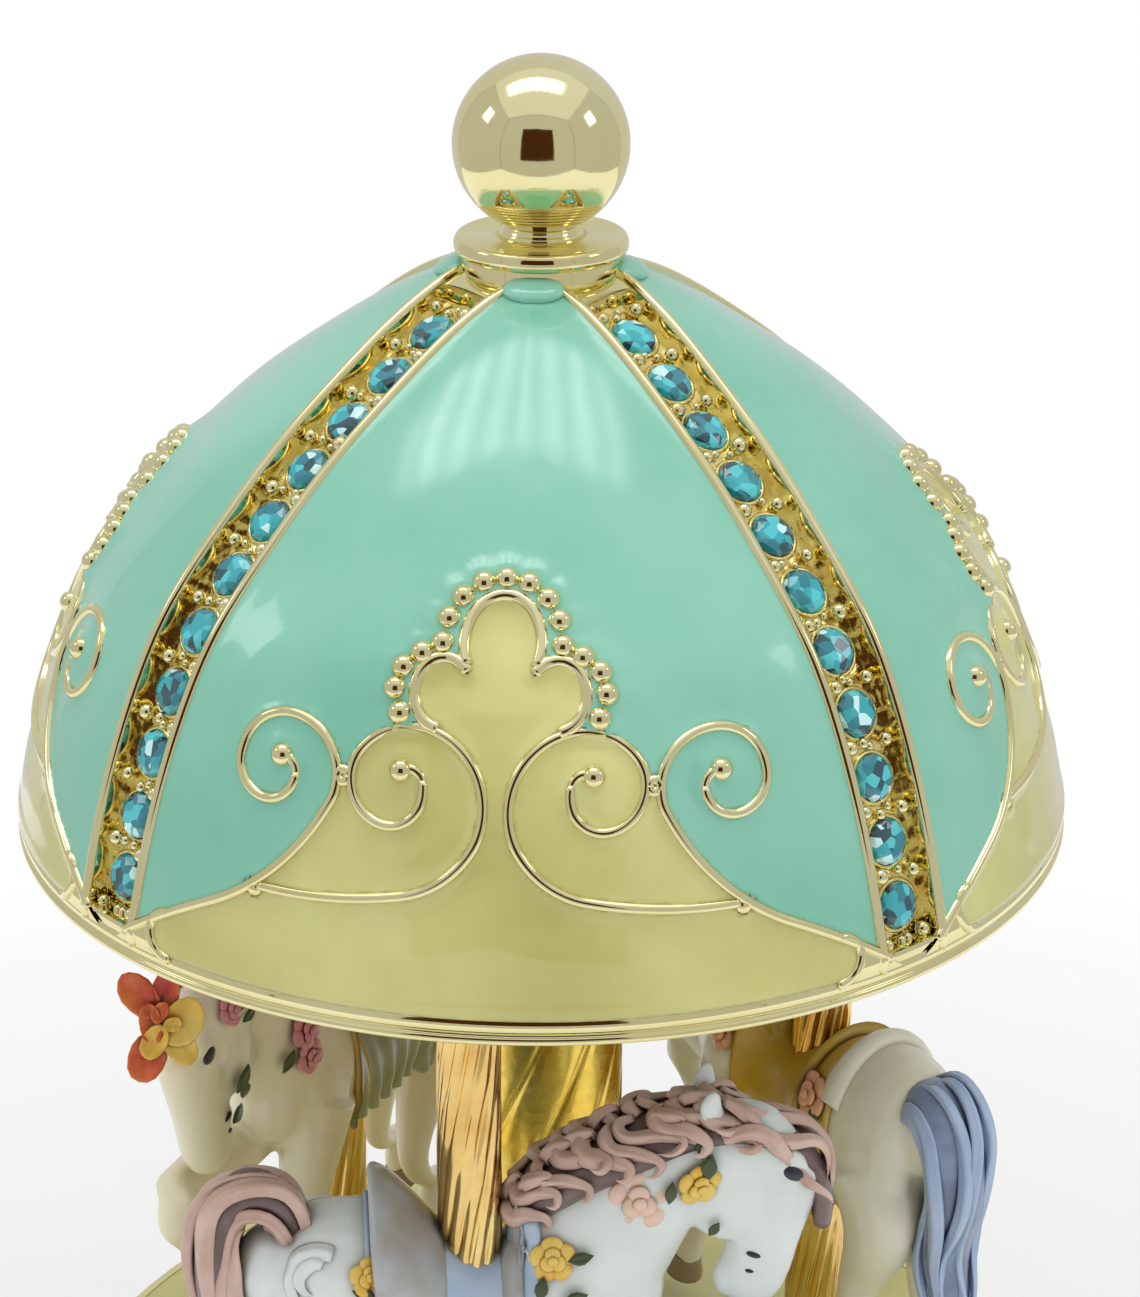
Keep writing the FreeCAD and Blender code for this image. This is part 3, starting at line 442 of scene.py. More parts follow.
def on_bed(bed, share, degrees, lift):
    """A place on a bed, by the share along it, the angle round it and the lift, and the way out there."""
    rings, slope = bed
    at = np.clip(share, 0, 1) * (len(rings) - 1)
    x, z, high, wide = (np.interp(at, np.arange(len(rings)), column) for column in rings.T)
    t, a = np.interp(at, np.arange(len(rings)), slope), math.radians(degrees)
    up, across = np.array([-math.sin(t), 0, math.cos(t)]), np.array([0, 1, 0])
    place = np.array([x, 0, z]) + (high + lift) * math.cos(a) * up + (wide + lift) * math.sin(a) * across
    return place, math.cos(a) * up + math.sin(a) * across


def bed_lock(bed, steps, width, thick, count):
    """A lock laid on a bed through steps of (share, angle, lift)."""
    return lock_through([on_bed(bed, *step) for step in steps], width, thick, count)


mane_bed = hair_bed([(4.8, 41.4, 1.5, 3.0), (7.2, 44.4, 2.2, 4.0), (10.8, 46.6, 2.4, 4.1), (14.5, 48.1, 2.5, 3.9),
                     (18.0, 49.5, 2.4, 3.7), (22.4, 50.3, 2.2, 3.3), (26.6, 49.4, 1.9, 3.0), (30.2, 46.8, 1.6, 2.3),
                     (32.4, 43.2, 1.3, 1.8), (32.8, 39.2, 0.8, 1.2)])
tail_bed = hair_bed([(-16.2, 40.0, 1.6, 2.0), (-17.6, 44.0, 1.9, 2.6), (-20.4, 45.2, 1.9, 2.8),
                     (-22.8, 42.0, 1.9, 3.0), (-23.6, 36.0, 1.9, 3.1), (-23.0, 28.0, 1.7, 2.8),
                     (-24.0, 20.0, 1.3, 2.0), (-22.6, 13.0, 0.6, 0.8)])
low_tail_bed = hair_bed([(-15.8, 37.4, 1.6, 2.2), (-17.6, 40.4, 1.9, 3.0), (-20.0, 39.4, 2.0, 3.4),
                         (-21.6, 35.4, 2.0, 3.6), (-21.8, 30.0, 1.9, 3.4), (-20.8, 24.0, 1.7, 2.8),
                         (-21.8, 17.0, 1.2, 1.8), (-20.6, 11.0, 0.6, 0.8)])


def mane_locks(draw):
    """Bold curls that fall over both sides of the crest, with small ones standing along its top."""
    shapes = []
    for side in (1, -1):
        for k in range(10):
            start, swell = 0.03 + 0.54 * k / 9 + draw.uniform(-0.012, 0.012), draw.uniform(0.7, 1.5)
            end = (100, 74, 92, 58, 86)[k % 5]
            steps = [(start - 0.012, side * 2, 0.0), (start - 0.034 * swell, side * 0.22 * end, 0.7),
                     (start - 0.030 * swell, side * 0.45 * end, 0.5), (start + 0.010, side * 0.62 * end, 0.25),
                     (start + 0.042 * swell, side * 0.80 * end, 0.3), (start + 0.060 * swell, side * end, 0.6),
                     (start + 0.040 * swell, side * (end + 10), 1.1), (start + 0.022, side * (end + 1), 1.3)]
            shapes.append(bed_lock(mane_bed, steps, draw.uniform(0.55, 0.9), 0.55, 36))
    for k in range(9):
        start, lean = 0.04 + 0.52 * k / 8 + draw.uniform(-0.015, 0.015), draw.uniform(-34, 34)
        steps = [(start - 0.030, lean, -0.3), (start - 0.020, lean, 0.7), (start + 0.010, 1.3 * lean, 1.0),
                 (start + 0.036, 1.6 * lean, 0.8), (start + 0.034, 1.9 * lean, -0.1)]
        shapes.append(bed_lock(mane_bed, steps, draw.uniform(0.5, 0.75), 0.55, 20))
    return shapes


def forelock_locks(draw):
    """Waving locks from the poll, falling in front of the face."""
    shapes = []
    for k, lean in enumerate((-84, -42, 0, 42, 84)):
        end = draw.uniform(0.86, 1.0)
        steps = [(0.56 + (end - 0.56) * t, lean + 24 * math.sin(7.5 * t + 1.9 * k),
                  0.5 + 0.7 * math.sin(9.0 * t + k)) for t in np.linspace(0, 1, 8)]
        shapes.append(bed_lock(mane_bed, steps, 0.68, 0.56, 34))
    return shapes


def tail_locks(draw, bed):
    """Waving locks round a tail, with gaps that show its bed."""
    shapes = []
    for k in range(8):
        lean, end = 45 * k + 14, draw.uniform(0.82, 1.0)
        steps = [(0.03 + (end - 0.03) * t, lean + 20 * math.sin(5.5 * t + 2.1 * k),
                  0.15 + 0.45 * math.sin(9 * t + 1.3 * k)) for t in np.linspace(0, 1, 10)]
        shapes.append(bed_lock(bed, steps, draw.uniform(0.6, 1.0), 0.65, 44))
    return shapes


def rump_curls():
    """Two arcs of short hair at the root of the tail, on each side of the rump."""
    shapes = []
    for side in (1, -1):
        for reach, width in ((2.1, 0.7), (4.0, 0.8)):
            places = [on_coat((-15.2 + reach * math.cos(a), side * 8, 40.0 + reach * math.sin(a)), 0.15)
                      for a in np.radians(np.linspace(60, 265, 9))]
            shapes.append(lock_through(places, width, 0.55, 26))
    return shapes


def over_back(x_low, x_high, reach, lift_at, rows=34, columns=49):
    """A closed shell lying over the back, from one side to the other. lift_at gives its shift along the back and
    its outer height off the coat, by the share along and the angle from upright in degrees."""
    outer, inner = [], []
    for along_share in np.linspace(0, 1, rows):
        x = x_low + (x_high - x_low) * along_share
        for angle in np.linspace(-reach, reach, columns):
            a = math.radians(angle)
            way = Vector((0, math.sin(a), math.cos(a)))
            hit = coat.ray_cast(Vector((x, 0, 30.5)) + way * 14, -way)[0]
            base = np.array(hit) if hit else np.array(Vector((x, 0, 30.5)) + way * 6)
            shift, lift = lift_at(along_share, angle)
            outer.append(base + lift * np.array(way) + np.array([shift, 0, 0]))
            inner.append(base - 0.5 * np.array(way) + np.array([shift, 0, 0]))
    size = len(outer)
    faces = [face[::-1] for face in grid_faces(rows, columns, False)]
    faces += [tuple(size + i for i in face[::-1]) for face in faces]
    edge = list(range(columns)) + [r * columns + columns - 1 for r in range(1, rows)]
    edge += [(rows - 1) * columns + c for c in range(columns - 2, -1, -1)]
    edge += [r * columns for r in range(rows - 2, 0, -1)]
    faces += [(a, b, size + b, size + a) for a, b in zip(edge, edge[1:] + edge[:1])]
    return outer + inner, faces


def cantle_lift(share, angle):
    """A padded shell behind the rider, highest near its back edge, which rolls over."""
    top = math.exp(-(angle / 56) ** 4)
    rise = max(math.sin(math.pi * share ** 0.62), 0) ** 0.8 * top
    rim = math.exp(-((abs(angle) - 62) / 5) ** 2)
    return -1.6 * rise, 0.55 + 3.9 * rise + 0.45 * rim + 0.32 * math.cos(math.radians(angle) * 9) * rise


def seat_lift(share, angle):
    """A low saddle without a cantle, its edges rolled."""
    ends = math.exp(-(share / 0.1) ** 2) + math.exp(-((1 - share) / 0.1) ** 2)
    return 0.0, 0.9 + 1.1 * ends * math.exp(-(angle / 70) ** 4) + 0.6 * math.exp(-((abs(angle) - 90) / 8) ** 2)


def roll_lift(share, angle):
    """A roll that lies across the back, tapered to its ends."""
    return 0.0, 0.2 + 1.1 * math.sin(math.pi * share) ** 0.6 * math.cos(math.radians(angle)) ** 0.5


def strap_lift(share, angle):
    """A flat girth strap with raised edges."""
    return 0.0, 0.45 + 0.25 * abs(2 * share - 1) ** 4


def cloth_lift(share, angle):
    """The saddle cloth, gathered in folds that deepen to its scalloped hem."""
    low = min(1.0, abs(angle) / 125) ** 2
    folds = 0.55 * low * math.cos(2 * math.pi * share * 6.5 + 0.02 * angle)
    hem = 0.45 * math.exp(-((abs(angle) - 122) / 6) ** 2)
    ends = 0.35 * (math.exp(-(share / 0.05) ** 2) + math.exp(-((1 - share) / 0.05) ** 2))
    return 0.0, 0.45 + folds + hem + ends


def flower_shape(place, size, lift=0.5):
    """A rose of cupped petals round a bud, seated on the coat."""
    spot, out = on_coat(place, lift)
    level = np.cross(out, [0.3, 0.2, 1.0])
    level /= np.linalg.norm(level)
    other = np.cross(out, level)
    shapes = []
    whorls = ((5, 0.62, 0.0, 0.52), (3, 0.28, 0.30, 0.36), (1, 0.0, 0.5, 0.24))
    for ring, (count, reach, rise, petal) in enumerate(whorls):
        for k in range(count):
            a = 2 * math.pi * (k + 0.4 * ring) / count
            way = math.cos(a) * level + math.sin(a) * other
            side = np.cross(out, way)
            tilt = 0.45 * way + 0.9 * out
            body = petal * (unit_ball[:, :1] * way + 1.1 * unit_ball[:, 1:2] * side + 0.55 * unit_ball[:, 2:] * tilt)
            shapes.append((spot + size * (reach * way + rise * out + body), ball_faces))
    return shapes


def leaf_shape(place, size, lean, lift=0.75):
    """A pointed leaf with a folded middle, lying on the coat. lean is its direction in degrees."""
    spot, out = on_coat(place, lift)
    level = np.cross([0, 0, 1.0], out)
    level /= np.linalg.norm(level)
    rise = np.cross(out, level)
    a = math.radians(lean)
    way = math.cos(a) * level + math.sin(a) * rise
    side = np.cross(out, way)
    narrow = np.cos(unit_ball[:, 0] * math.pi / 2.2)[:, None]
    fold = 0.35 * np.abs(unit_ball[:, 1:2])
    body = unit_ball[:, :1] * way + 0.52 * unit_ball[:, 1:2] * narrow * side
    return spot + size * (body + (0.22 * unit_ball[:, 2:] + fold * 0.4) * out), ball_faces


# Recess shade: mottled paint, with painted shade where the surface is closed in, which is also less glossy
shading, given, out = group("recess wash", {"Paint": (1, 1, 1, 1), "Shade": (0.7, 0.7, 0.6, 1),
                                         "Wash": (0.2, 0.1, 0.05, 1), "Reach": 1.0, "Cloud": 120.0},
                         {"Color": "Color", "Roughness": "Float"})
open_share = add(shading, "AmbientOcclusion", {"Distance": given["Reach"]}, samples=8)
where = add(shading, "TexCoord").outputs["Object"]
cloud = add(shading, "TexNoise", {"Vector": where, "Scale": given["Cloud"], "Detail": 5.0})
mottle = add(shading, "MapRange", {"Value": cloud.outputs["Fac"], "From Min": 0.35, "From Max": 0.7})
paint = add(shading, "Mix", {"Factor": mottle.outputs[0], "A": given["Paint"], "B": given["Shade"]}, data_type="RGBA")
unshaded = add(shading, "MapRange", {"Value": open_share.outputs["AO"], "From Min": 0.30, "From Max": 0.86})
shaded_paint = add(shading, "Mix", {"Factor": unshaded.outputs[0], "A": given["Wash"], "B": paint.outputs["Result"]},
            data_type="RGBA")
matt = add(shading, "MapRange", {"Value": unshaded.outputs[0], "To Min": 0.6, "To Max": 0.32})
shading.links.new(shaded_paint.outputs["Result"], out["Color"])
shading.links.new(matt.outputs[0], out["Roughness"])


def painted(name, color, shade, recess, reach=1.0, cloud=120.0):
    """Brush paint on resin with painted shade in its recesses and a thin gloss."""
    material, tree, shader = finish(name, IOR=1.5, Coat_Weight=0.35, Coat_Roughness=0.15)
    laid = place_group(tree, shading, Paint=(*color, 1), Shade=(*shade, 1), Wash=(*recess, 1), Reach=reach * mm,
                       Cloud=cloud)
    where = add(tree, "TexCoord").outputs["Object"]
    strokes = add(tree, "TexNoise", {"Vector": where, "Scale": 900.0, "Detail": 3.0})
    relief = add(tree, "Bump", {"Height": strokes.outputs["Fac"], "Strength": 0.12, "Distance": 0.2 * mm})
    feed(tree, shader, laid, relief)
    return material


# The third colour of each paint is painted shade for its recesses. The dark paints of the skins under the locks are
# painted shade as a whole, for the dark between the locks.
pearl = painted("pearl white", (0.80, 0.86, 0.84), (0.71, 0.76, 0.73), (0.40, 0.40, 0.35), 2.8)
ivory = painted("ivory white", (0.92, 0.87, 0.66), (0.85, 0.78, 0.52), (0.50, 0.42, 0.24), 2.4)
buff = painted("buff white", (0.84, 0.83, 0.70), (0.75, 0.72, 0.54), (0.44, 0.40, 0.26), 2.4)
rose_hair = painted("rose hair", (0.70, 0.50, 0.43), (0.55, 0.34, 0.26), (0.13, 0.06, 0.045), 0.8, 260.0)
rose_hair_shadow = painted("rose hair shadow", (0.21, 0.145, 0.14), (0.10, 0.055, 0.045), (0.045, 0.02, 0.015), 0.8, 260.0)
sky_hair = painted("sky hair", (0.42, 0.54, 0.72), (0.32, 0.43, 0.66), (0.10, 0.13, 0.24), 0.8)
sky_hair_shadow = painted("sky hair shadow", (0.24, 0.31, 0.48), (0.14, 0.17, 0.26), (0.05, 0.06, 0.09), 0.8, 260.0)
straw_hair = painted("straw hair", (0.66, 0.58, 0.38), (0.55, 0.46, 0.27), (0.20, 0.14, 0.06), 0.8)
straw_hair_shadow = painted("straw hair shadow", (0.30, 0.23, 0.11), (0.24, 0.17, 0.07), (0.10, 0.06, 0.02), 0.8)
slate = painted("slate leather", (0.48, 0.51, 0.54), (0.38, 0.36, 0.31), (0.12, 0.13, 0.15), 1.2, 260.0)
ochre = painted("ochre leather", (0.64, 0.42, 0.03), (0.52, 0.31, 0.02), (0.14, 0.06, 0.01), 1.2)
sky_cloth = painted("sky cloth", (0.52, 0.64, 0.78), (0.42, 0.54, 0.72), (0.16, 0.20, 0.30), 1.0)
gold_cloth = painted("gold cloth", (0.68, 0.46, 0.09), (0.60, 0.38, 0.06), (0.2, 0.1, 0.02), 1.0)
moss_cloth = painted("moss cloth", (0.44, 0.46, 0.30), (0.36, 0.38, 0.24), (0.1, 0.1, 0.05), 1.0)
yellow = painted("yellow petals", (0.85, 0.64, 0.14), (0.80, 0.44, 0.03), (0.45, 0.18, 0.01), 0.8, 260.0)
peach = painted("peach petals", (0.85, 0.47, 0.30), (0.78, 0.36, 0.20), (0.45, 0.16, 0.07), 0.6)
blush = painted("blush petals", (0.86, 0.66, 0.55), (0.84, 0.54, 0.40), (0.62, 0.34, 0.22), 0.6)
rose = painted("rose petals", (0.70, 0.27, 0.30), (0.58, 0.16, 0.20), (0.22, 0.02, 0.05), 0.6)
flame = painted("flame petals", (0.82, 0.20, 0.03), (0.52, 0.02, 0.012), (0.20, 0.008, 0.01), 1.2, 300.0)
leaf_green = painted("leaf green", (0.045, 0.075, 0.018), (0.03, 0.05, 0.012), (0.01, 0.015, 0.004), 0.5)
hoof_brown = painted("hoof brown", (0.30, 0.22, 0.12), (0.22, 0.15, 0.08), (0.06, 0.04, 0.02), 0.8)
eye_black = painted("eye black", (0.012, 0.014, 0.02), (0.02, 0.02, 0.03), (0.005, 0.005, 0.006), 0.4)

draw = np.random.default_rng(5)
mane, forelock = mane_locks(draw), forelock_locks(draw)
short_mane_bed = tuple(part[:70] for part in mane_bed)
cantle = over_back(-8.8, -2.4, 66, cantle_lift)
pommel = over_back(2.6, 4.8, 50, roll_lift)
seat = over_back(-5.0, 6.0, 100, seat_lift)
cloth = over_back(-9.8, 6.2, 128, cloth_lift)
blanket = over_back(-10.8, -7.6, 42, roll_lift)
girth = over_back(3.8, 6.6, 165, strap_lift)
hooves = []
for side, joints in legs:
    (x0, z0, thick), (x1, z1, _) = joints[-2], joints[-1]
    tilt = math.degrees(math.atan2(z1 - z0, x1 - x0))
    way = np.array([math.cos(math.radians(tilt)), math.sin(math.radians(tilt))])
    ends = [(-0.3, 1.6), (1.0, 2.0), (2.2, 2.25)]
    hooves.append(run_shape([(x1 + way[0] * s, side, z1 + way[1] * s, tilt, r, 0.9 * r) for s, r in ends], 16, 8))
sights = []
for side in (1, -1):
    for place, radii, pitch in (((29.7, side * 3.4, 46.3), (1.05, 0.4, 0.72), 25),
                                ((26.1, side * 3.2, 37.5), (0.75, 0.3, 0.3), 20),
                                ((25.6, side * 3.2, 35.7), (0.45, 0.25, 0.2), 10)):
        spot, _ = on_coat(place, -0.05)
        sights.append(blob(spot, radii, pitch))
bow_middle, bow_scale = np.array([34.2, 0.6, 51.4]), 0.78
bow_right, bow_up = np.array([-0.43, 0.90, 0.0]), np.array([-0.33, -0.16, 0.93])
bow_out = np.array([0.83, 0.40, 0.38])


def bow_petal(right, up, long, wide, lean, lift=0.0):
    """A cupped petal of the silk flower on the left horse's brow."""
    a = math.radians(lean)
    way, side = math.cos(a) * bow_right + math.sin(a) * bow_up, math.cos(a) * bow_up - math.sin(a) * bow_right
    round_ = np.arctan2(unit_ball[:, 1:2], unit_ball[:, :1])
    out = unit_ball[:, :1] ** 2 + unit_ball[:, 1:2] ** 2
    cup = 0.6 * unit_ball[:, 2:] + 1.1 * out + 0.45 * out * np.sin(4 * round_ + right)
    body = unit_ball[:, :1] * long * way + unit_ball[:, 1:2] * wide * side + (cup + lift) * bow_out
    return bow_middle + bow_scale * (right * bow_right + up * bow_up + body), ball_faces


bow_red = [bow_petal(-2.9, 3.6, 3.4, 2.2, 130), bow_petal(0.4, 4.2, 2.6, 1.8, 80),
           bow_petal(-1.9, -4.0, 3.3, 2.4, 250), bow_petal(-1.4, 0.2, 2.6, 1.5, 100, 0.6),
           bow_petal(-0.2, 1.6, 1.5, 1.0, 60, 1.0)]
bow_yellow = [bow_petal(2.6, 0.4, 3.3, 2.5, 60, 0.5), bow_petal(2.2, -2.4, 2.8, 2.0, 300, 0.3),
              bow_petal(-0.9, -2.0, 2.4, 1.6, 240, 1.0), bow_petal(1.4, 0.2, 1.2, 0.9, 20, 1.6)]

# Each horse's paints, tack and trimmings. A flower is a place by the coat, a size and a lift off the coat; a leaf is
# a place, a size and a direction. The outer side has negative second coordinates.
# The bed paint is painted shade, for the dark between the locks.
dressings = {
    "front": {
        "coat": pearl, "hair": rose_hair, "bed": rose_hair_shadow, "locks": mane + forelock, "cloth": sky_cloth,
        "beds": (mane_bed, tail_bed), "tack": [("cantle", cantle, slate), ("pommel", pommel, slate)],
        "flowers": [(yellow, [((21.2, -5, 45.9), 1.9), ((7.2, -7, 40.3), 1.9), ((-9.2, -8, 40.1), 1.7),
                              ((21.2, 5, 45.9), 1.9), ((7.2, 7, 40.3), 1.9), ((-9.2, 8, 40.1), 1.7)]),
                    (blush, [((15.3, -6, 44.9), 2.6, -0.65), ((15.3, 6, 44.9), 2.6, -0.65)])],
        "leaves": [((21.2, -4.5, 50.4), 1.6, 85), ((21.6, -4.5, 48.0), 1.5, 80), ((18.2, -5, 45.8), 1.2, 80),
                   ((22.1, -4.5, 41.1), 1.0, 60), ((9.8, -7, 40.2), 1.3, 10), ((6.1, -7, 37.8), 1.3, 80),
                   ((9.3, -7, 36.3), 1.3, 10), ((-9.9, -8, 38.2), 1.3, 160), ((-6.7, -8, 38.0), 1.3, 150),
                   ((21.4, 4.5, 49.4), 1.8, 85), ((9.8, 7, 40.2), 1.3, 15), ((6.1, 7, 37.8), 1.3, 80)]},
    "right": {
        "coat": buff, "hair": sky_hair, "bed": sky_hair_shadow, "locks": mane + forelock, "cloth": gold_cloth,
        "beds": (mane_bed, low_tail_bed), "tack": [("saddle", seat, ochre), ("blanket", blanket, buff)],
        "flowers": [(peach, [((-6.5, 8, 38.2), 2.2), ((9.0, -7, 38.0), 1.9), ((-6.5, -8, 38.2), 2.2),
                             ((9.0, 7, 38.0), 1.9), ((20.6, 5, 45.0), 1.8), ((20.6, -5, 45.0), 1.8)])],
        "leaves": [((-8.0, 8, 36.4), 1.3, 60), ((11.4, -7, 38.6), 1.3, 20), ((11.4, 7, 38.6), 1.3, 20),
                   ((-8.0, -8, 36.4), 1.3, 60), ((20.4, 5, 47.6), 1.4, 80)]},
    "left": {
        "coat": ivory, "hair": straw_hair, "bed": straw_hair_shadow, "locks": mane, "cloth": moss_cloth,
        "beds": (short_mane_bed, tail_bed),
        "tack": [("cantle", cantle, slate), ("girth", girth, gold_cloth), ("bow", joined(bow_red), flame),
                 ("bow_heart", joined(bow_yellow), yellow)],
        "flowers": [(rose, [((26.4, 4, 50.0), 1.5), ((14.8, 6, 42.4), 2.0), ((14.7, 7, 39.1), 1.7),
                            ((26.4, -4, 50.0), 1.5), ((14.8, -6, 42.0), 2.0)])],
        "leaves": [((24.2, 4.5, 48.4), 1.2, 20), ((18.0, 6, 39.6), 1.4, 60), ((25.6, 5, 41.6), 1.6, 60),
                   ((24.9, 5, 39.6), 1.4, 100), ((25.0, 5, 37.8), 1.4, 20), ((18.0, -6, 39.6), 1.4, 60)]},
}
stand_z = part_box("platform")[1].z / mm
horse_turn = 17.0
for side, colours in dressings.items():
    x, y = pole_middle(side)
    angle = math.degrees(math.atan2(x, -y)) + horse_turn

    def standing(label, shape, material):
        """A piece of this horse, set on its place round the platform with its head turned in to the column."""
        points = turned(shape[0], angle) + np.array([x, y, stand_z])
        return piece("horse_%s_%s" % (side, label), points, shape[1], material, "carousel")

    body = standing("coat", (coat_points, coat_faces), colours["coat"])
    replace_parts(body, "horse_" + side)
    # A dark skin under mane and tail: painted shade between the locks.
    standing("hair_shadow_beds", joined([bed_shape(bed) for bed in colours["beds"]]), colours["bed"])
    standing("mane", joined(colours["locks"]), colours["hair"])
    standing("tail", joined(tail_locks(np.random.default_rng(3), colours["beds"][1])), colours["hair"])
    if side == "front":
        standing("rump_curls", joined(rump_curls()), colours["coat"])
    for label, shape, material in colours["tack"]:
        standing(label, shape, material)
    standing("cloth", cloth, colours["cloth"])
    standing("hooves", joined(hooves), hoof_brown)
    standing("eyes", joined(sights), eye_black)
    standing("leaves", joined([leaf_shape(*spot) for spot in colours["leaves"]]), leaf_green)
    for count, (material, spots) in enumerate(colours["flowers"]):
        petals = joined([shape for spot in spots for shape in flower_shape(*spot)])
        standing("flowers_%d" % count, petals, material)


# Canopy casting: one zinc dome with raised cell lines, bead rows and four stone channels, polished and plated
# with pale gold. The lines are half round; beads stand round the trefoil, at the scrolls' eyes and by the stones.
dress(gold, "canopy_shell")
rim_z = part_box("canopy_shell")[0].z / mm
dome_points = np.array([(50.0, 3.0), (48.9, 7.5), (47.8, 11.5), (43.8, 22.0), (40.0, 28.5), (34.0, 35.0),
                        (27.4, 41.0), (20.6, 46.0), (14.5, 50.0), (8.4, 53.0), (3.0, 54.6)])
rim_radius = 49.5
rib_half_width, rib_lip, rib_depth = 3.1, 1.1, 1.7
panel_low_z, panel_top_radius = 2.5, 8.6
line_width = 0.85


# The dome's profile from the rim up, as even steps of radius and height over the rim, and its outward normal
profile = np.concatenate([[(rim_radius, 0.0)], smooth_curve(dome_points, 400)])
profile_run = np.concatenate([[0], np.cumsum(np.linalg.norm(np.diff(profile, axis=0), axis=1))])
along = np.gradient(profile, axis=0)
profile_normal = np.stack([along[:, 1], -along[:, 0]], axis=1) / np.linalg.norm(along, axis=1)[:, None]


def on_profile(run):
    """Radius, height over the rim and outward normal at runs along the profile."""
    values = [np.interp(run, profile_run, column) for column in (*profile.T, *profile_normal.T)]
    return values[0], values[1], values[2], values[3]


def on_dome(x, z, lift=0.0):
    """The point of the front panel at x from its middle and z over the rim, lifted off the dome."""
    run = np.interp(z, profile[:, 1], profile_run)
    radius, height, out_r, out_z = on_profile(run)
    depth = np.sqrt(np.maximum(radius ** 2 - np.square(x), 0.01))
    return np.stack([x + lift * out_r * x / radius, -depth - lift * out_r * depth / radius,
                     rim_z + height + lift * out_z], axis=-1)


def arc_line(start, heading, arcs, step=0.35):
    """Points along a chain of tangent arcs, each a radius and a turn in degrees, positive to the left."""
    point, angle = np.array(start, float), math.radians(heading)
    points = [point]
    for radius, turn in arcs:
        swing, side = math.radians(turn), math.copysign(1, turn)
        centre = point + side * radius * np.array([-math.sin(angle), math.cos(angle)])
        count = max(3, int(abs(swing) * radius / step))
        for a in np.linspace(0, swing, count + 1)[1:]:
            points.append(centre + side * radius * np.array([math.sin(angle + a), -math.cos(angle + a)]))
        point, angle = points[-1], angle + swing
    return np.array(points)


def lobe_line(centre, radius, start, end):
    """Points round a lobe between two angles."""
    a = np.radians(np.linspace(start, end, 40))
    return np.stack([centre[0] + radius * np.cos(a), centre[1] + radius * np.sin(a)], axis=1)


# One panel's lines, x from the middle and z over the rim: two borders, two scrolls and a trefoil of three lobes
border = arc_line((-33.3, 3.1), 38.5, [(50.0, -11.5), (26.1, 33.3), (4.0, 109.6), (4.6, 94.7), (2.4, 107),
                                       (2.8, 70)])
scroll = arc_line((-20.25, 11.0), -0.7, [(60.0, 12), (9.0, 45), (5.95, 173), (3.4, 115), (2.95, 120)])
side_lobe = lobe_line((-4.7, 27.7), 2.5, 262, 40)
crown_lobe = lobe_line((0.0, 31.2), 3.25, 206, -26)
joint = lobe_line((-13.0, 20.95), 0.45, 0, 360)
cusp_x, cusp_z, cusp_radius = 20.7, 10.75, 1.1
nose_x, nose_z, nose_radius = 28.6, 4.2, 1.75
nose = lobe_line((-nose_x, nose_z), nose_radius + 0.3, 95, 265)
mirrored = np.array([-1, 1])
panel_lines = [border, scroll, side_lobe, joint, nose]
panel_lines += [line * mirrored for line in panel_lines] + [crown_lobe]
lobes = [side_lobe, side_lobe * mirrored, crown_lobe]
curl_ends = [arc_line((-17.13, 20.42), 81.6, [(1.04, 109)], 0.15),
             arc_line((-6.18, 21.25), 104.3, [(1.16, 112)], 0.15)]
curl_ends += [line * mirrored for line in curl_ends]
rib_lines = []
lip_reach = rib_half_width + rib_lip / 2
lip_runs = np.linspace(2.0, profile_run[-1] - 3.6, 120)
for hand in (1, -1):
    radius, height, out_r, out_z = on_profile(lip_runs)
    rib_lines.append(np.stack([np.full_like(radius, hand * lip_reach), -np.sqrt(radius ** 2 - lip_reach ** 2),
                               rim_z + height], axis=1))


def wire(name, lines, radius, material):
    """Round wires along lines of points in millimetres, as one mesh."""
    points, faces = [], []
    sides = 10
    for line in lines:
        line = np.asarray(line)
        ahead = np.gradient(line, axis=0)
        ahead /= np.linalg.norm(ahead, axis=1)[:, None]
        outward = line * np.array([1, 1, 0]) + np.array([0, 0, 20.0])
        across = np.cross(ahead, outward)
        across /= np.linalg.norm(across, axis=1)[:, None]
        upward = np.cross(across, ahead)
        base = len(points)
        for k in range(len(line)):
            for a in np.linspace(0, 2 * np.pi, sides, endpoint=False):
                points.append(line[k] + radius * (math.cos(a) * across[k] + math.sin(a) * upward[k]))
        faces += [tuple(base + i for i in face) for face in grid_faces(len(line), sides)]
        faces += [tuple(base + i for i in range(sides))[::-1],
                  tuple(base + (len(line) - 1) * sides + i for i in range(sides))]
    return piece(name, points, faces, material, "carousel")


panel_turns = [0, 90, 180, 270]
for label, lines, low, high, radius in (("cell_lines", panel_lines, 0.12, 0.12, 0.48),
                                        ("lobes", lobes, 0.24, 0.24, 0.62),
                                        ("curl_ends", curl_ends, 0.14, 0.5, 0.46)):
    laid = [on_dome(line[:, 0], line[:, 1], np.linspace(low, high, len(line))) for line in lines]
    wire("canopy_" + label, [turned(line, turn) for turn in panel_turns for line in laid], radius, gold)
wire("canopy_rib_lips", [turned(line, turn + 45) for turn in panel_turns for line in rib_lines], 0.55, gold)


def lathe(name, outline, material, segments):
    """A solid turned about the upright axis from an outline of radius and height."""
    outline = np.asarray(outline, float)
    angles = np.linspace(0, 2 * np.pi, segments, endpoint=False)
    points = [(r * math.cos(a), r * math.sin(a), z) for r, z in outline for a in angles]
    return piece(name, points, grid_faces(len(outline), segments), material, "carousel")


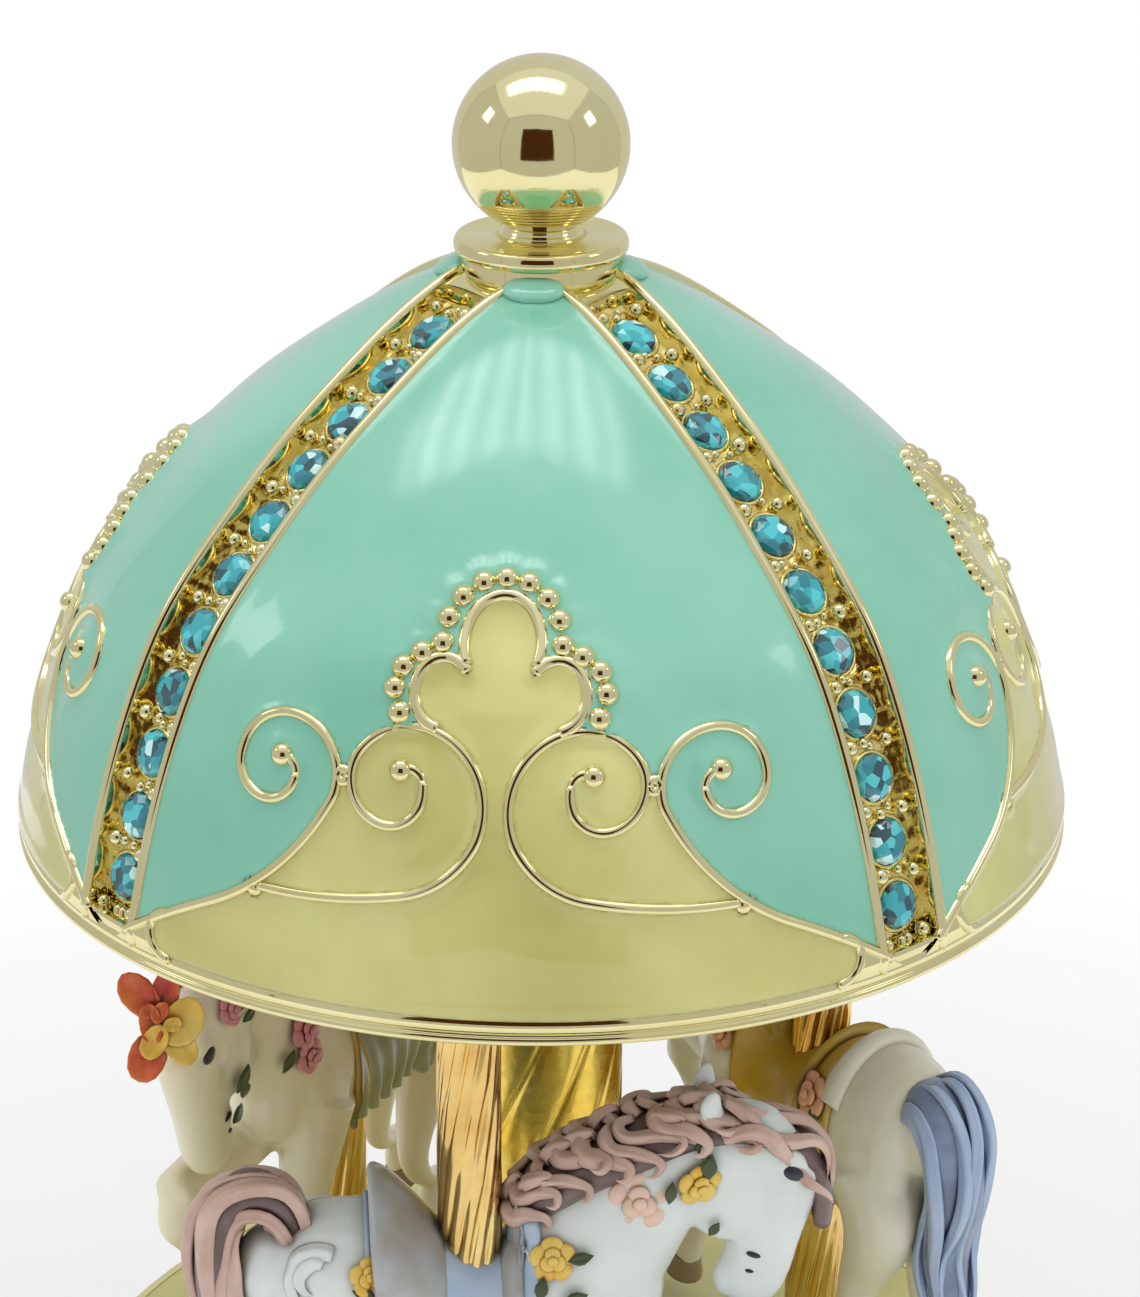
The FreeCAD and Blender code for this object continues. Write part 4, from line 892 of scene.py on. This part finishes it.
# The webs of gold in the lower corners of the panels, between the border's foot, the rim and the channel
web_count = 9
web_rows = np.linspace(1.9, 5.1, web_count)
web_inner = nose_x + np.sqrt(np.clip((nose_radius + 0.3) ** 2 - (web_rows - nose_z) ** 2, 0, None))
web_outer = np.where(web_rows > 3.1, 33.3 - (web_rows - 3.1) / 0.79, 33.3 + 0.9 * (3.1 - web_rows))
web_x = np.linspace(web_inner, web_outer, web_count, axis=1).ravel()
web_z = np.repeat(web_rows, web_count)
webs = []
for turn in panel_turns:
    for hand in (1, -1):
        sheet = [turned(on_dome(hand * web_x, web_z, lift), turn) for lift in (0.22, -0.6)]
        faces = [face[::hand] for face in grid_faces(web_count, web_count, False)]
        faces += [tuple(web_count ** 2 + i for i in face[::-1]) for face in faces]
        webs.append((np.concatenate(sheet), faces))
web_points, web_faces = joined(webs)
piece("canopy_webs", web_points, web_faces, gold, "carousel")

# The rim's rolled edge over a thin lip
roll = [(rim_radius - 0.35 + 0.95 * math.cos(a), rim_z + 1.72 + 0.95 * math.sin(a))
        for a in np.linspace(2.2, -0.95, 22)]
roll += [(rim_radius + 0.42 + 0.22 * math.cos(a), rim_z + 0.42 + 0.36 * math.sin(a))
         for a in np.linspace(1.4, -1.6, 12)]
roll += [(rim_radius - 1.2, rim_z + 0.03), (rim_radius - 1.2, rim_z + 2.4), roll[0]]
lathe("canopy_rim_roll", roll, gold, 240)


def beads(name, centres, radii, material):
    """Small balls, as one mesh."""
    points, faces = joined([(np.asarray(centre) + radius * unit_ball, ball_faces)
                            for centre, radius in zip(centres, radii)])
    return piece(name, points, faces, material, "carousel")


# Beads round the trefoil, on a line outside its lobes, and the eyes of the scrolls
bead_radius = 1.08
trefoil_beads = [(-8.3, 26.1), (-8.8, 27.8), (-8.2, 29.3), (-6.7, 30.35), (-5.0, 31.1), (-4.6, 32.75),
                 (-3.55, 34.15), (-1.9, 35.15), (0.0, 35.45)]
trefoil_beads += [(-x, z) for x, z in trefoil_beads[:-1]]
eyes = [(side * x, z) for side in (1, -1) for x, z in ((8.0, 21.9), (18.35, 21.6))]
cusps = [(side * cusp_x, cusp_z) for side in (1, -1)]
bead_places, bead_sizes = [], []
for turn in panel_turns:
    for spots, size, lift in ((trefoil_beads, bead_radius, 0.3), (eyes, 1.05, 0.3), (cusps, 1.0, -0.45)):
        for x, z in spots:
            bead_places.append(turned(on_dome(np.array([x]), np.array([z]), lift), turn)[0])
            bead_sizes.append(size)
beads("canopy_beads", bead_places, bead_sizes, gold)


# The channels' cast floors, with a seat ring round each stone and grains of gold between the stones
rib_stones, rib_pitch, first_stone_z, stone_radius = 11, 5.7, 6.4, 2.12
floor_line = (profile - rib_depth * profile_normal)[1:]
floor_run = np.concatenate([[0], np.cumsum(np.linalg.norm(np.diff(floor_line, axis=0), axis=1))])
floor_normal = profile_normal[1:]
first_run = np.interp(first_stone_z, floor_line[:, 1], floor_run)


def on_floor(run, across, lift):
    """A point of the front channel's floor, by its run from the rim and its place across, lifted off it."""
    radius, height = (np.interp(run, floor_run, column) for column in floor_line.T)
    out_r, out_z = (np.interp(run, floor_run, column) for column in floor_normal.T)
    return np.array([across, -radius - lift * out_r, rim_z + height + lift * out_z])


rough = np.random.default_rng(21)
floor_rows = np.linspace(2.2, first_run + rib_pitch * (rib_stones - 1) + 5.2, 260)
floor_columns = np.linspace(-rib_half_width, rib_half_width, 25)
lumps = rough.uniform(0, 1, (len(floor_rows), len(floor_columns)))
for _ in range(2):
    lumps = (lumps + np.roll(lumps, 1, 0) + np.roll(lumps, -1, 0) + np.roll(lumps, 1, 1)
             + np.roll(lumps, -1, 1)) / 5
lumps = (lumps - lumps.min()) / (lumps.max() - lumps.min())
cast_gold = metal("cast gold", (0.92, 0.80, 0.36), (0.80, 0.60, 0.18), 0.10, 0.30, drift=500.0, grain=2500.0,
                  bump=0.25)
strip = [on_floor(run, across, 0.04 + 0.3 * lumps[r, c]) for r, run in enumerate(floor_rows)
         for c, across in enumerate(floor_columns)]
strip_low = [on_floor(run, across, -0.3) for run in floor_rows for across in floor_columns]
strip_faces = [face[::-1] for face in grid_faces(len(floor_rows), len(floor_columns), False)]
strip_faces += [tuple(len(strip) + i for i in face[::-1]) for face in strip_faces]
grains, grain_sizes, seats = [], [], []
for k in range(rib_stones + 1):
    middle = first_run + rib_pitch * (k - 0.5)
    for across in (-1.95, 1.95):
        grains.append(on_floor(middle + rough.uniform(-0.35, 0.35), across + rough.uniform(-0.25, 0.25), 0.75))
        grain_sizes.append(rough.uniform(0.55, 0.78))
    for across in (-0.6, 0.6):
        grains.append(on_floor(middle + rough.uniform(-0.5, 0.5), across + rough.uniform(-0.4, 0.4), 0.45))
        grain_sizes.append(rough.uniform(0.35, 0.55))
seat_radius = stone_radius + 0.12
for k in range(rib_stones):
    middle = first_run + rib_pitch * k
    seats.append(np.array([on_floor(middle + seat_radius * math.sin(a), seat_radius * math.cos(a), 0.2)
                           for a in np.linspace(0, 2 * np.pi, 37)]))
floor_points, floor_faces = joined([(turned(strip + strip_low, turn + 45), strip_faces) for turn in panel_turns])
piece("canopy_channel_floors", floor_points, floor_faces, cast_gold, "carousel")
beads("canopy_channel_grains", [turned([g], turn + 45)[0] for turn in panel_turns for g in grains],
      grain_sizes * len(panel_turns), gold)
wire("canopy_stone_seats", [turned(seat, turn + 45) for turn in panel_turns for seat in seats], 0.24, cast_gold)


# Canopy enamel: soft enamel poured into the cast cells, mint above and cream below, fired glossy. It creeps up
# the gold lines at its edges and stands a little proud in the middle of each cell.
def panel_grid(rows, columns):
    """The front panel's points on the dome and their normals."""
    runs = np.linspace(np.interp(panel_low_z, profile[:, 1], profile_run),
                       profile_run[np.argmax(profile[:, 0] < panel_top_radius)], rows)
    radius, height, out_r, out_z = (v[:, None] for v in on_profile(runs))
    widest = np.pi / 4 - np.arcsin((rib_half_width + rib_lip * 0.7) / radius)
    angle = np.linspace(-1, 1, columns)[None, :] * widest
    flat = np.ones_like(angle)
    points = np.stack([radius * np.sin(angle), -radius * np.cos(angle), (rim_z + height) * flat], axis=-1)
    normals = np.stack([out_r * np.sin(angle), -out_r * np.cos(angle), out_z * flat], axis=-1)
    return points, normals


grid_rows, grid_columns = 190, 150
panel_points, panel_normals = panel_grid(grid_rows, grid_columns)


def gap_to(targets):
    """The distance of each point of the panel from the nearest target."""
    gaps = [np.linalg.norm(chunk[:, None] - targets[None], axis=2).min(axis=1)
            for chunk in np.array_split(panel_points.reshape(-1, 3), 40)]
    return np.concatenate(gaps).reshape(grid_rows, grid_columns)


line_gap = gap_to(np.concatenate([on_dome(line[:, 0], line[:, 1]) for line in panel_lines]))
across, over_rim = np.abs(panel_points[..., 0]), panel_points[..., 2] - rim_z
cusp_gap = np.hypot(across - cusp_x, over_rim - cusp_z) - cusp_radius
border_z = np.interp(across, (border * mirrored)[::-1, 0][-60:], border[::-1, 1][-60:])
corner = (across > nose_x) & (over_rim < border_z) & (np.hypot(across - nose_x, over_rim - nose_z) > nose_radius)
wall = (line_gap < line_width / 2) | (cusp_gap < 0) | corner
mint_side = np.zeros_like(wall)
front = [(int(grid_rows * 0.8), grid_columns // 2)]
while front:
    r, c = front.pop()
    if 0 <= r < grid_rows and 0 <= c < grid_columns and not wall[r, c] and not mint_side[r, c]:
        mint_side[r, c] = True
        front += [(r + 1, c), (r - 1, c), (r, c + 1), (r, c - 1)]
side_gap = np.linalg.norm(panel_points - panel_points[:, :1], axis=2)
side_gap = np.minimum(side_gap, side_gap[:, ::-1])
foot_gap = np.linalg.norm(panel_points - panel_points[:1], axis=2)
edge_gap = np.minimum(np.minimum(line_gap - line_width / 2, side_gap), np.minimum(foot_gap, cusp_gap)).clip(0)
bead_gap = gap_to(np.concatenate([on_dome(np.array([x]), np.array([z])) for x, z in trefoil_beads + eyes]))
creep = 0.34 * np.exp(-edge_gap / 0.75) + 0.50 * np.exp(-((bead_gap - bead_radius).clip(0) / 1.5) ** 1.5)
crown = 0.42 * (1 - np.exp(-edge_gap / 5.0))
enamel_lift = -0.14 + creep + crown
skin_depth = 0.6


def enamel_skin(name, keep, material, node):
    """A closed skin of enamel over the faces that touch kept points, on all four panels."""
    faces = np.array(grid_faces(grid_rows, grid_columns, False))
    flat_keep, flat_wall = keep.ravel(), wall.ravel()
    chosen = faces[(flat_keep | flat_wall)[faces].all(axis=1) & flat_keep[faces].any(axis=1)]
    used, index = np.unique(chosen, return_inverse=True)
    index = index.reshape(chosen.shape)
    top = (panel_points + enamel_lift[..., None] * panel_normals).reshape(-1, 3)[used]
    low = (panel_points - skin_depth * panel_normals).reshape(-1, 3)[used]
    edges = {(a, b): True for face in index for a, b in zip(face, np.roll(face, -1))}
    size = len(used)
    skin = [tuple(face) for face in index] + [tuple(size + face[::-1]) for face in index]
    skin += [(b, a, size + a, size + b) for a, b in edges if (b, a) not in edges]
    points, every = joined([(turned(np.concatenate([top, low]), turn), skin) for turn in panel_turns])
    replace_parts(piece(name, points, every, material, "carousel"), node)


enamel_skin("canopy_mint_skin", mint_side, mint, "canopy_mint_enamel")
enamel_skin("canopy_cream_skin", ~mint_side & ~wall, cream, "canopy_cream_enamel")


# A small tongue of mint enamel under the collar at the head of each panel
tongue_run = np.interp(-8.0, -profile[:, 0], profile_run)
radius, height, out_r, out_z = on_profile(tongue_run)
ahead = np.array([0, out_z, out_r])
outward = np.array([0, -out_r, out_z])
tongue = (np.array([0, -radius, rim_z + height]) + outward * 0.15 + unit_ball[:, :1] * np.array([2.9, 0, 0])
          + unit_ball[:, 1:2] * 1.9 * ahead + unit_ball[:, 2:] * 0.75 * outward)
tongue_points, tongue_faces = joined([(turned(tongue, turn), ball_faces) for turn in panel_turns])
piece("canopy_tongues", tongue_points, tongue_faces, mint, "carousel")


# Stones: round foil-backed glass, flat behind, ten-sided, glued in the seats of the channels and the base.
# Their colour is painted in patches from dark teal to white: painted reflections and glints of the foil's facets.
deep_stone, tree, shader = finish("turquoise glass", Roughness=0.05, IOR=1.6, Coat_Weight=1.0, Coat_Roughness=0.02)
patches = add(tree, "TexVoronoi", {"Vector": add(tree, "TexCoord").outputs["Object"], "Scale": 950.0}, feature="F1")
sparkle = add(tree, "SeparateColor", {"Color": patches.outputs["Color"]})
foil_glints = add(tree, "ValToRGB", {"Fac": sparkle.outputs["Red"]})
foil_glints.color_ramp.interpolation = "CONSTANT"
# The ramp's colours are painted reflections of the foil, from dark teal to a white glint.
steps = [(0.0, (0.003, 0.060, 0.080)), (0.22, (0.008, 0.21, 0.27)), (0.5, (0.016, 0.39, 0.45)),
         (0.78, (0.07, 0.58, 0.64)), (0.93, (0.62, 0.94, 0.95))]
while len(foil_glints.color_ramp.elements) < len(steps):
    foil_glints.color_ramp.elements.new(0.5)
for element, (place, color) in zip(foil_glints.color_ramp.elements, steps):
    element.position, element.color = place, (*color, 1)
tree.links.new(foil_glints.outputs["Color"], shader.inputs["Base Color"])
dress(deep_stone, "base_stones")
stone_sides = 10
cut_rings = [(1.30, 0.95, 0.0), (1.85, 0.70, 0.5), (stone_radius, 0.30, 0.0), (stone_radius, 0.05, 0.0)]
stone_points, stone_faces = [], []
for turn in panel_turns:
    for k in range(rib_stones):
        start, middle = len(stone_points), first_run + rib_pitch * k
        for radius, lift, shift in cut_rings:
            angles = 2 * np.pi * (np.arange(stone_sides) + shift) / stone_sides
            ring_points = [on_floor(middle + radius * math.sin(a), radius * math.cos(a), 0.15 + lift) for a in angles]
            stone_points += list(turned(ring_points, turn + 45))
        stone_faces += [tuple(start + c for c in range(stone_sides))]
        for ring in range(3):
            for c in range(stone_sides):
                a, b = (start + stone_sides * ring + i % stone_sides for i in (c, c + 1))
                d, e = a + stone_sides, b + stone_sides
                stone_faces += ([(a, d, b), (b, d, e)], [(a, d, e), (a, e, b)], [(a, d, e, b)])[ring]
        stone_faces += [tuple(start + 3 * stone_sides + c for c in reversed(range(stone_sides)))]
cut_stones = piece("canopy_stones_cut", stone_points, stone_faces, deep_stone, "carousel", False)
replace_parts(cut_stones, "canopy_stones")


# Finial: a ball and a collar turned in brass, polished and plated with pale gold. They screw down on the tie rod,
# and the collar's face keeps the fine rings of its turning.
ball_low, ball_high = (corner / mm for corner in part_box("finial_ball"))
collar_low, collar_high = (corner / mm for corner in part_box("finial_collar"))
ball_radius = (ball_high.x - ball_low.x) / 2
ball_z = ball_high.z - ball_radius
neck_radius, rod_radius = 3.4, 2.0
neck_turn = math.asin(neck_radius / ball_radius)
outline = [(rod_radius, collar_high.z), (4.2, collar_high.z), (3.75, collar_high.z + 0.4),
           (3.5, collar_high.z + 0.8), (neck_radius, collar_high.z + 1.6)]
outline += [(ball_radius * math.sin(a), ball_z - ball_radius * math.cos(a))
            for a in np.linspace(neck_turn, np.pi - 0.002, 90)]
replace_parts(lathe("finial_ball_polished", outline, gold, 128), "finial_ball")
collar_radius = collar_high.x
outline = [(rod_radius, collar_low.z), (collar_radius - 0.5, collar_low.z)]
outline += [(collar_radius - 0.45 + 0.45 * math.cos(a), (collar_low.z + collar_high.z) / 2 + 0.8 * math.sin(a))
            for a in np.linspace(-1.3, 1.3, 15)]
outline += [(r, collar_high.z - 0.07 + 0.07 * math.cos(2 * np.pi * r / 0.62))
            for r in np.linspace(collar_radius - 0.6, 4.3, 70)]
outline += [(4.2, collar_high.z), (rod_radius, collar_high.z)]
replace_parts(lathe("finial_collar_turned", outline, gold, 128), "finial_collar")


# Studio: a white tent with a light panel in its roof and an opening in front for the camera. The tent shows only
# in reflections; the floor is a pale sheet that fades into the white backdrop.
def stage_mesh(name, points, faces, material):
    """A stage object from points in metres."""
    mesh = bpy.data.meshes.new(name)
    mesh.from_pydata(points, [], faces)
    mesh.materials.append(material)
    made = bpy.data.objects.new(name, mesh)
    bpy.context.scene.collection.objects.link(made)
    return made


tent_half, tent_front, tent_back, tent_top = 0.393, -0.350, 0.285, 0.607
opening_half, opening_z = 0.134, 0.275


def glow(name, strength, color=(1, 1, 1)):
    """A plain light-giving stage material."""
    material = bpy.data.materials.new(name)
    material.use_nodes = True
    tree = material.node_tree
    tree.nodes.clear()
    light = add(tree, "Emission", {"Color": (*color, 1), "Strength": strength})
    tree.links.new(light.outputs[0], add(tree, "OutputMaterial").inputs["Surface"])
    return material


def card(name, corners, material):
    """A card of the tent that only reflections see."""
    made = stage_mesh(name, corners, [(0, 1, 2, 3)], material)
    made.visible_camera = made.visible_diffuse = made.visible_shadow = made.visible_volume_scatter = False
    return made


wall_glow, roof_glow = glow("tent wall", 0.55), glow("tent roof", 0.75)
back_glow = glow("tent back", 0.62)
seam_glow, room_glow = glow("tent seam", 0.12), glow("dark room", 1.0, (0.06, 0.022, 0.006))
lamp_glow = glow("side lamp", 2.6)
t, f, b, h = tent_half, tent_front, tent_back, tent_top
card("tent_left", [(-t, f, 0), (-t, b, 0), (-t, b, h), (-t, f, h)], wall_glow)
card("tent_right", [(t, f, 0), (t, b, 0), (t, b, h), (t, f, h)], wall_glow)
card("tent_back", [(-t, b, 0), (t, b, 0), (t, b, h), (-t, b, h)], back_glow)
card("tent_front", [(-t, f, 0), (t, f, 0), (t, f, h), (-t, f, h)], wall_glow)
card("tent_roof", [(-t, f, h), (t, f, h), (t, b, h), (-t, b, h)], roof_glow)
inset = 0.002
card("tent_opening", [(across * opening_half, f + inset, opening_z + up * opening_half)
                      for across, up in ((-1, -1), (1, -1), (1, 1), (-1, 1))], room_glow)
panel_low, panel_high = (-0.30, -0.06), (0.20, 0.13)
panel_glow = glow("light panel", 1.0)
tree = panel_glow.node_tree
place = add(tree, "TexCoord").outputs["Object"]
where = add(tree, "SeparateXYZ", {0: place})
streaks = add(tree, "TexWave", {"Vector": place, "Scale": 5.4, "Distortion": 1.2, "Detail": 2.0})
level = add(tree, "MapRange", {"Value": streaks.outputs["Fac"], "To Min": 1.5, "To Max": 3.6})
for axis, low, high, soft in (("X", panel_low[0], panel_high[0], 0.09), ("Y", panel_low[1], panel_high[1], 0.05)):
    for edge, inner in ((low, low + soft), (high, high - soft)):
        rise = add(tree, "MapRange", {"Value": where.outputs[axis], "From Min": edge, "From Max": inner,
                                      "To Min": 0.0, "To Max": 1.0}, interpolation_type="SMOOTHSTEP")
        level = add(tree, "Math", {0: level.outputs[0], 1: rise.outputs[0]}, operation="MULTIPLY")
level = add(tree, "Math", {0: level.outputs[0], 1: 0.75}, operation="ADD")
tree.links.new(level.outputs[0], tree.nodes["Emission"].inputs["Strength"])
card("light_panel", [(panel_low[0], panel_low[1], h - inset), (panel_high[0], panel_low[1], h - inset),
                     (panel_high[0], panel_high[1], h - inset), (panel_low[0], panel_high[1], h - inset)], panel_glow)
seam = 0.006
for k, hand in enumerate((1, -1)):
    x = hand * (t - inset)
    card("side_lamp_%d" % k, [(x, -0.09, 0.36), (x, 0.01, 0.36), (x, 0.01, 0.47), (x, -0.09, 0.47)], lamp_glow)
    for label, y in (("front", f + inset), ("back", b - inset)):
        edge = x - hand * seam
        card("seam_%s_%d" % (label, k), [(x, y, 0), (edge, y, 0), (edge, y, h), (x, y, h)], seam_glow)
y = f + inset
card("seam_front_roof", [(-t, y, h - seam), (t, y, h - seam), (t, y, h), (-t, y, h)], seam_glow)


def seen_directly(tree):
    """One where the camera, a reflection or glass sees a surface, and zero for the light it gives to others."""
    seen = add(tree, "LightPath")
    direct = seen.outputs["Is Camera Ray"]
    for ray in ("Is Glossy Ray", "Is Transmission Ray"):
        direct = add(tree, "Math", {0: direct, 1: seen.outputs[ray]}, operation="MAXIMUM").outputs[0]
    return direct


floor_material, tree, shader = finish("floor", Roughness=0.6)
paper = place_group(tree, uneven, Light=(0.86, 0.86, 0.85, 1), Deep=(0.84, 0.84, 0.83, 1), Drift=20.0, Grain=400.0,
                    Smooth=0.55, Rough=0.7)
feed(tree, shader, paper)
reach = add(tree, "VectorMath", {0: add(tree, "TexCoord").outputs["Object"]}, operation="LENGTH")
fade = add(tree, "MapRange", {"Value": reach.outputs["Value"], "From Min": 0.07, "From Max": 0.26})
amount = add(tree, "Math", {0: seen_directly(tree), 1: fade.outputs[0]}, operation="MULTIPLY")
white = add(tree, "Emission", {"Strength": 1.0})
mixed = add(tree, "MixShader", {0: amount.outputs[0], 1: shader.outputs[0], 2: white.outputs[0]})
tree.links.new(mixed.outputs[0], tree.nodes["Material Output"].inputs["Surface"])
floor_half = 3.0
stage_mesh("floor", [(-floor_half, -floor_half, 0), (floor_half, -floor_half, 0), (floor_half, floor_half, 0),
                     (-floor_half, floor_half, 0)], [(0, 1, 2, 3)], floor_material)

world = bpy.data.worlds.new("studio")
world.use_nodes = True
bpy.context.scene.world = world
tree = world.node_tree
background = tree.nodes["Background"]
background.inputs["Color"].default_value = (1, 1, 1, 1)
level = add(tree, "MapRange", {"Value": seen_directly(tree), "To Min": 0.55, "To Max": 1.0})
tree.links.new(level.outputs[0], background.inputs["Strength"])


def lamp(name, place, target, size, power):
    """A soft lamp that reflections don't see."""
    light = bpy.data.lights.new(name, "AREA")
    light.shape = "RECTANGLE"
    light.size, light.size_y = size
    light.energy = power
    made = bpy.data.objects.new(name, light)
    made.location = place
    made.rotation_euler = (Vector(target) - Vector(place)).to_track_quat("-Z", "Y").to_euler()
    made.visible_glossy = False
    bpy.context.scene.collection.objects.link(made)


lamp("roof panel", (0, 0.03, 0.60), (0, 0.03, 0), (0.6, 0.3), 1.1)
lamp("left side", (-0.39, -0.04, 0.42), (0, 0, 0.14), (0.2, 0.2), 0.35)
lamp("right side", (0.39, -0.04, 0.42), (0, 0, 0.14), (0.2, 0.2), 0.35)
lamp("low front", (0.04, -0.36, 0.16), (0, 0, 0.08), (0.5, 0.2), 0.24)


# Camera at the photograph's view, with a long lens from a little above, as fitted to the rim, the stones and the
# ball. Places are in metres.
camera_place = Vector((0.0263, -0.3070, 0.2697))
camera_turn, camera_yaw, camera_down, camera_roll = math.radians(4.9), 0.0088, math.radians(22.35), 0.0022
camera = bpy.data.cameras.new("camera")
camera.lens, camera.sensor_width = 97.1, 36.0
camera_object = bpy.data.objects.new("camera", camera)
bpy.context.scene.collection.objects.link(camera_object)
heading = camera_turn - camera_yaw
forward = Vector((-math.sin(heading) * math.cos(camera_down), math.cos(heading) * math.cos(camera_down),
                  -math.sin(camera_down)))
camera_object.rotation_mode = "QUATERNION"
camera_object.rotation_quaternion = (forward.to_track_quat("-Z", "Y").to_matrix()
                                     @ Matrix.Rotation(camera_roll, 3, "Z")).to_quaternion()
camera_object.location = camera_place
bpy.context.scene.camera = camera_object
bpy.context.scene.view_settings.view_transform = "Standard"
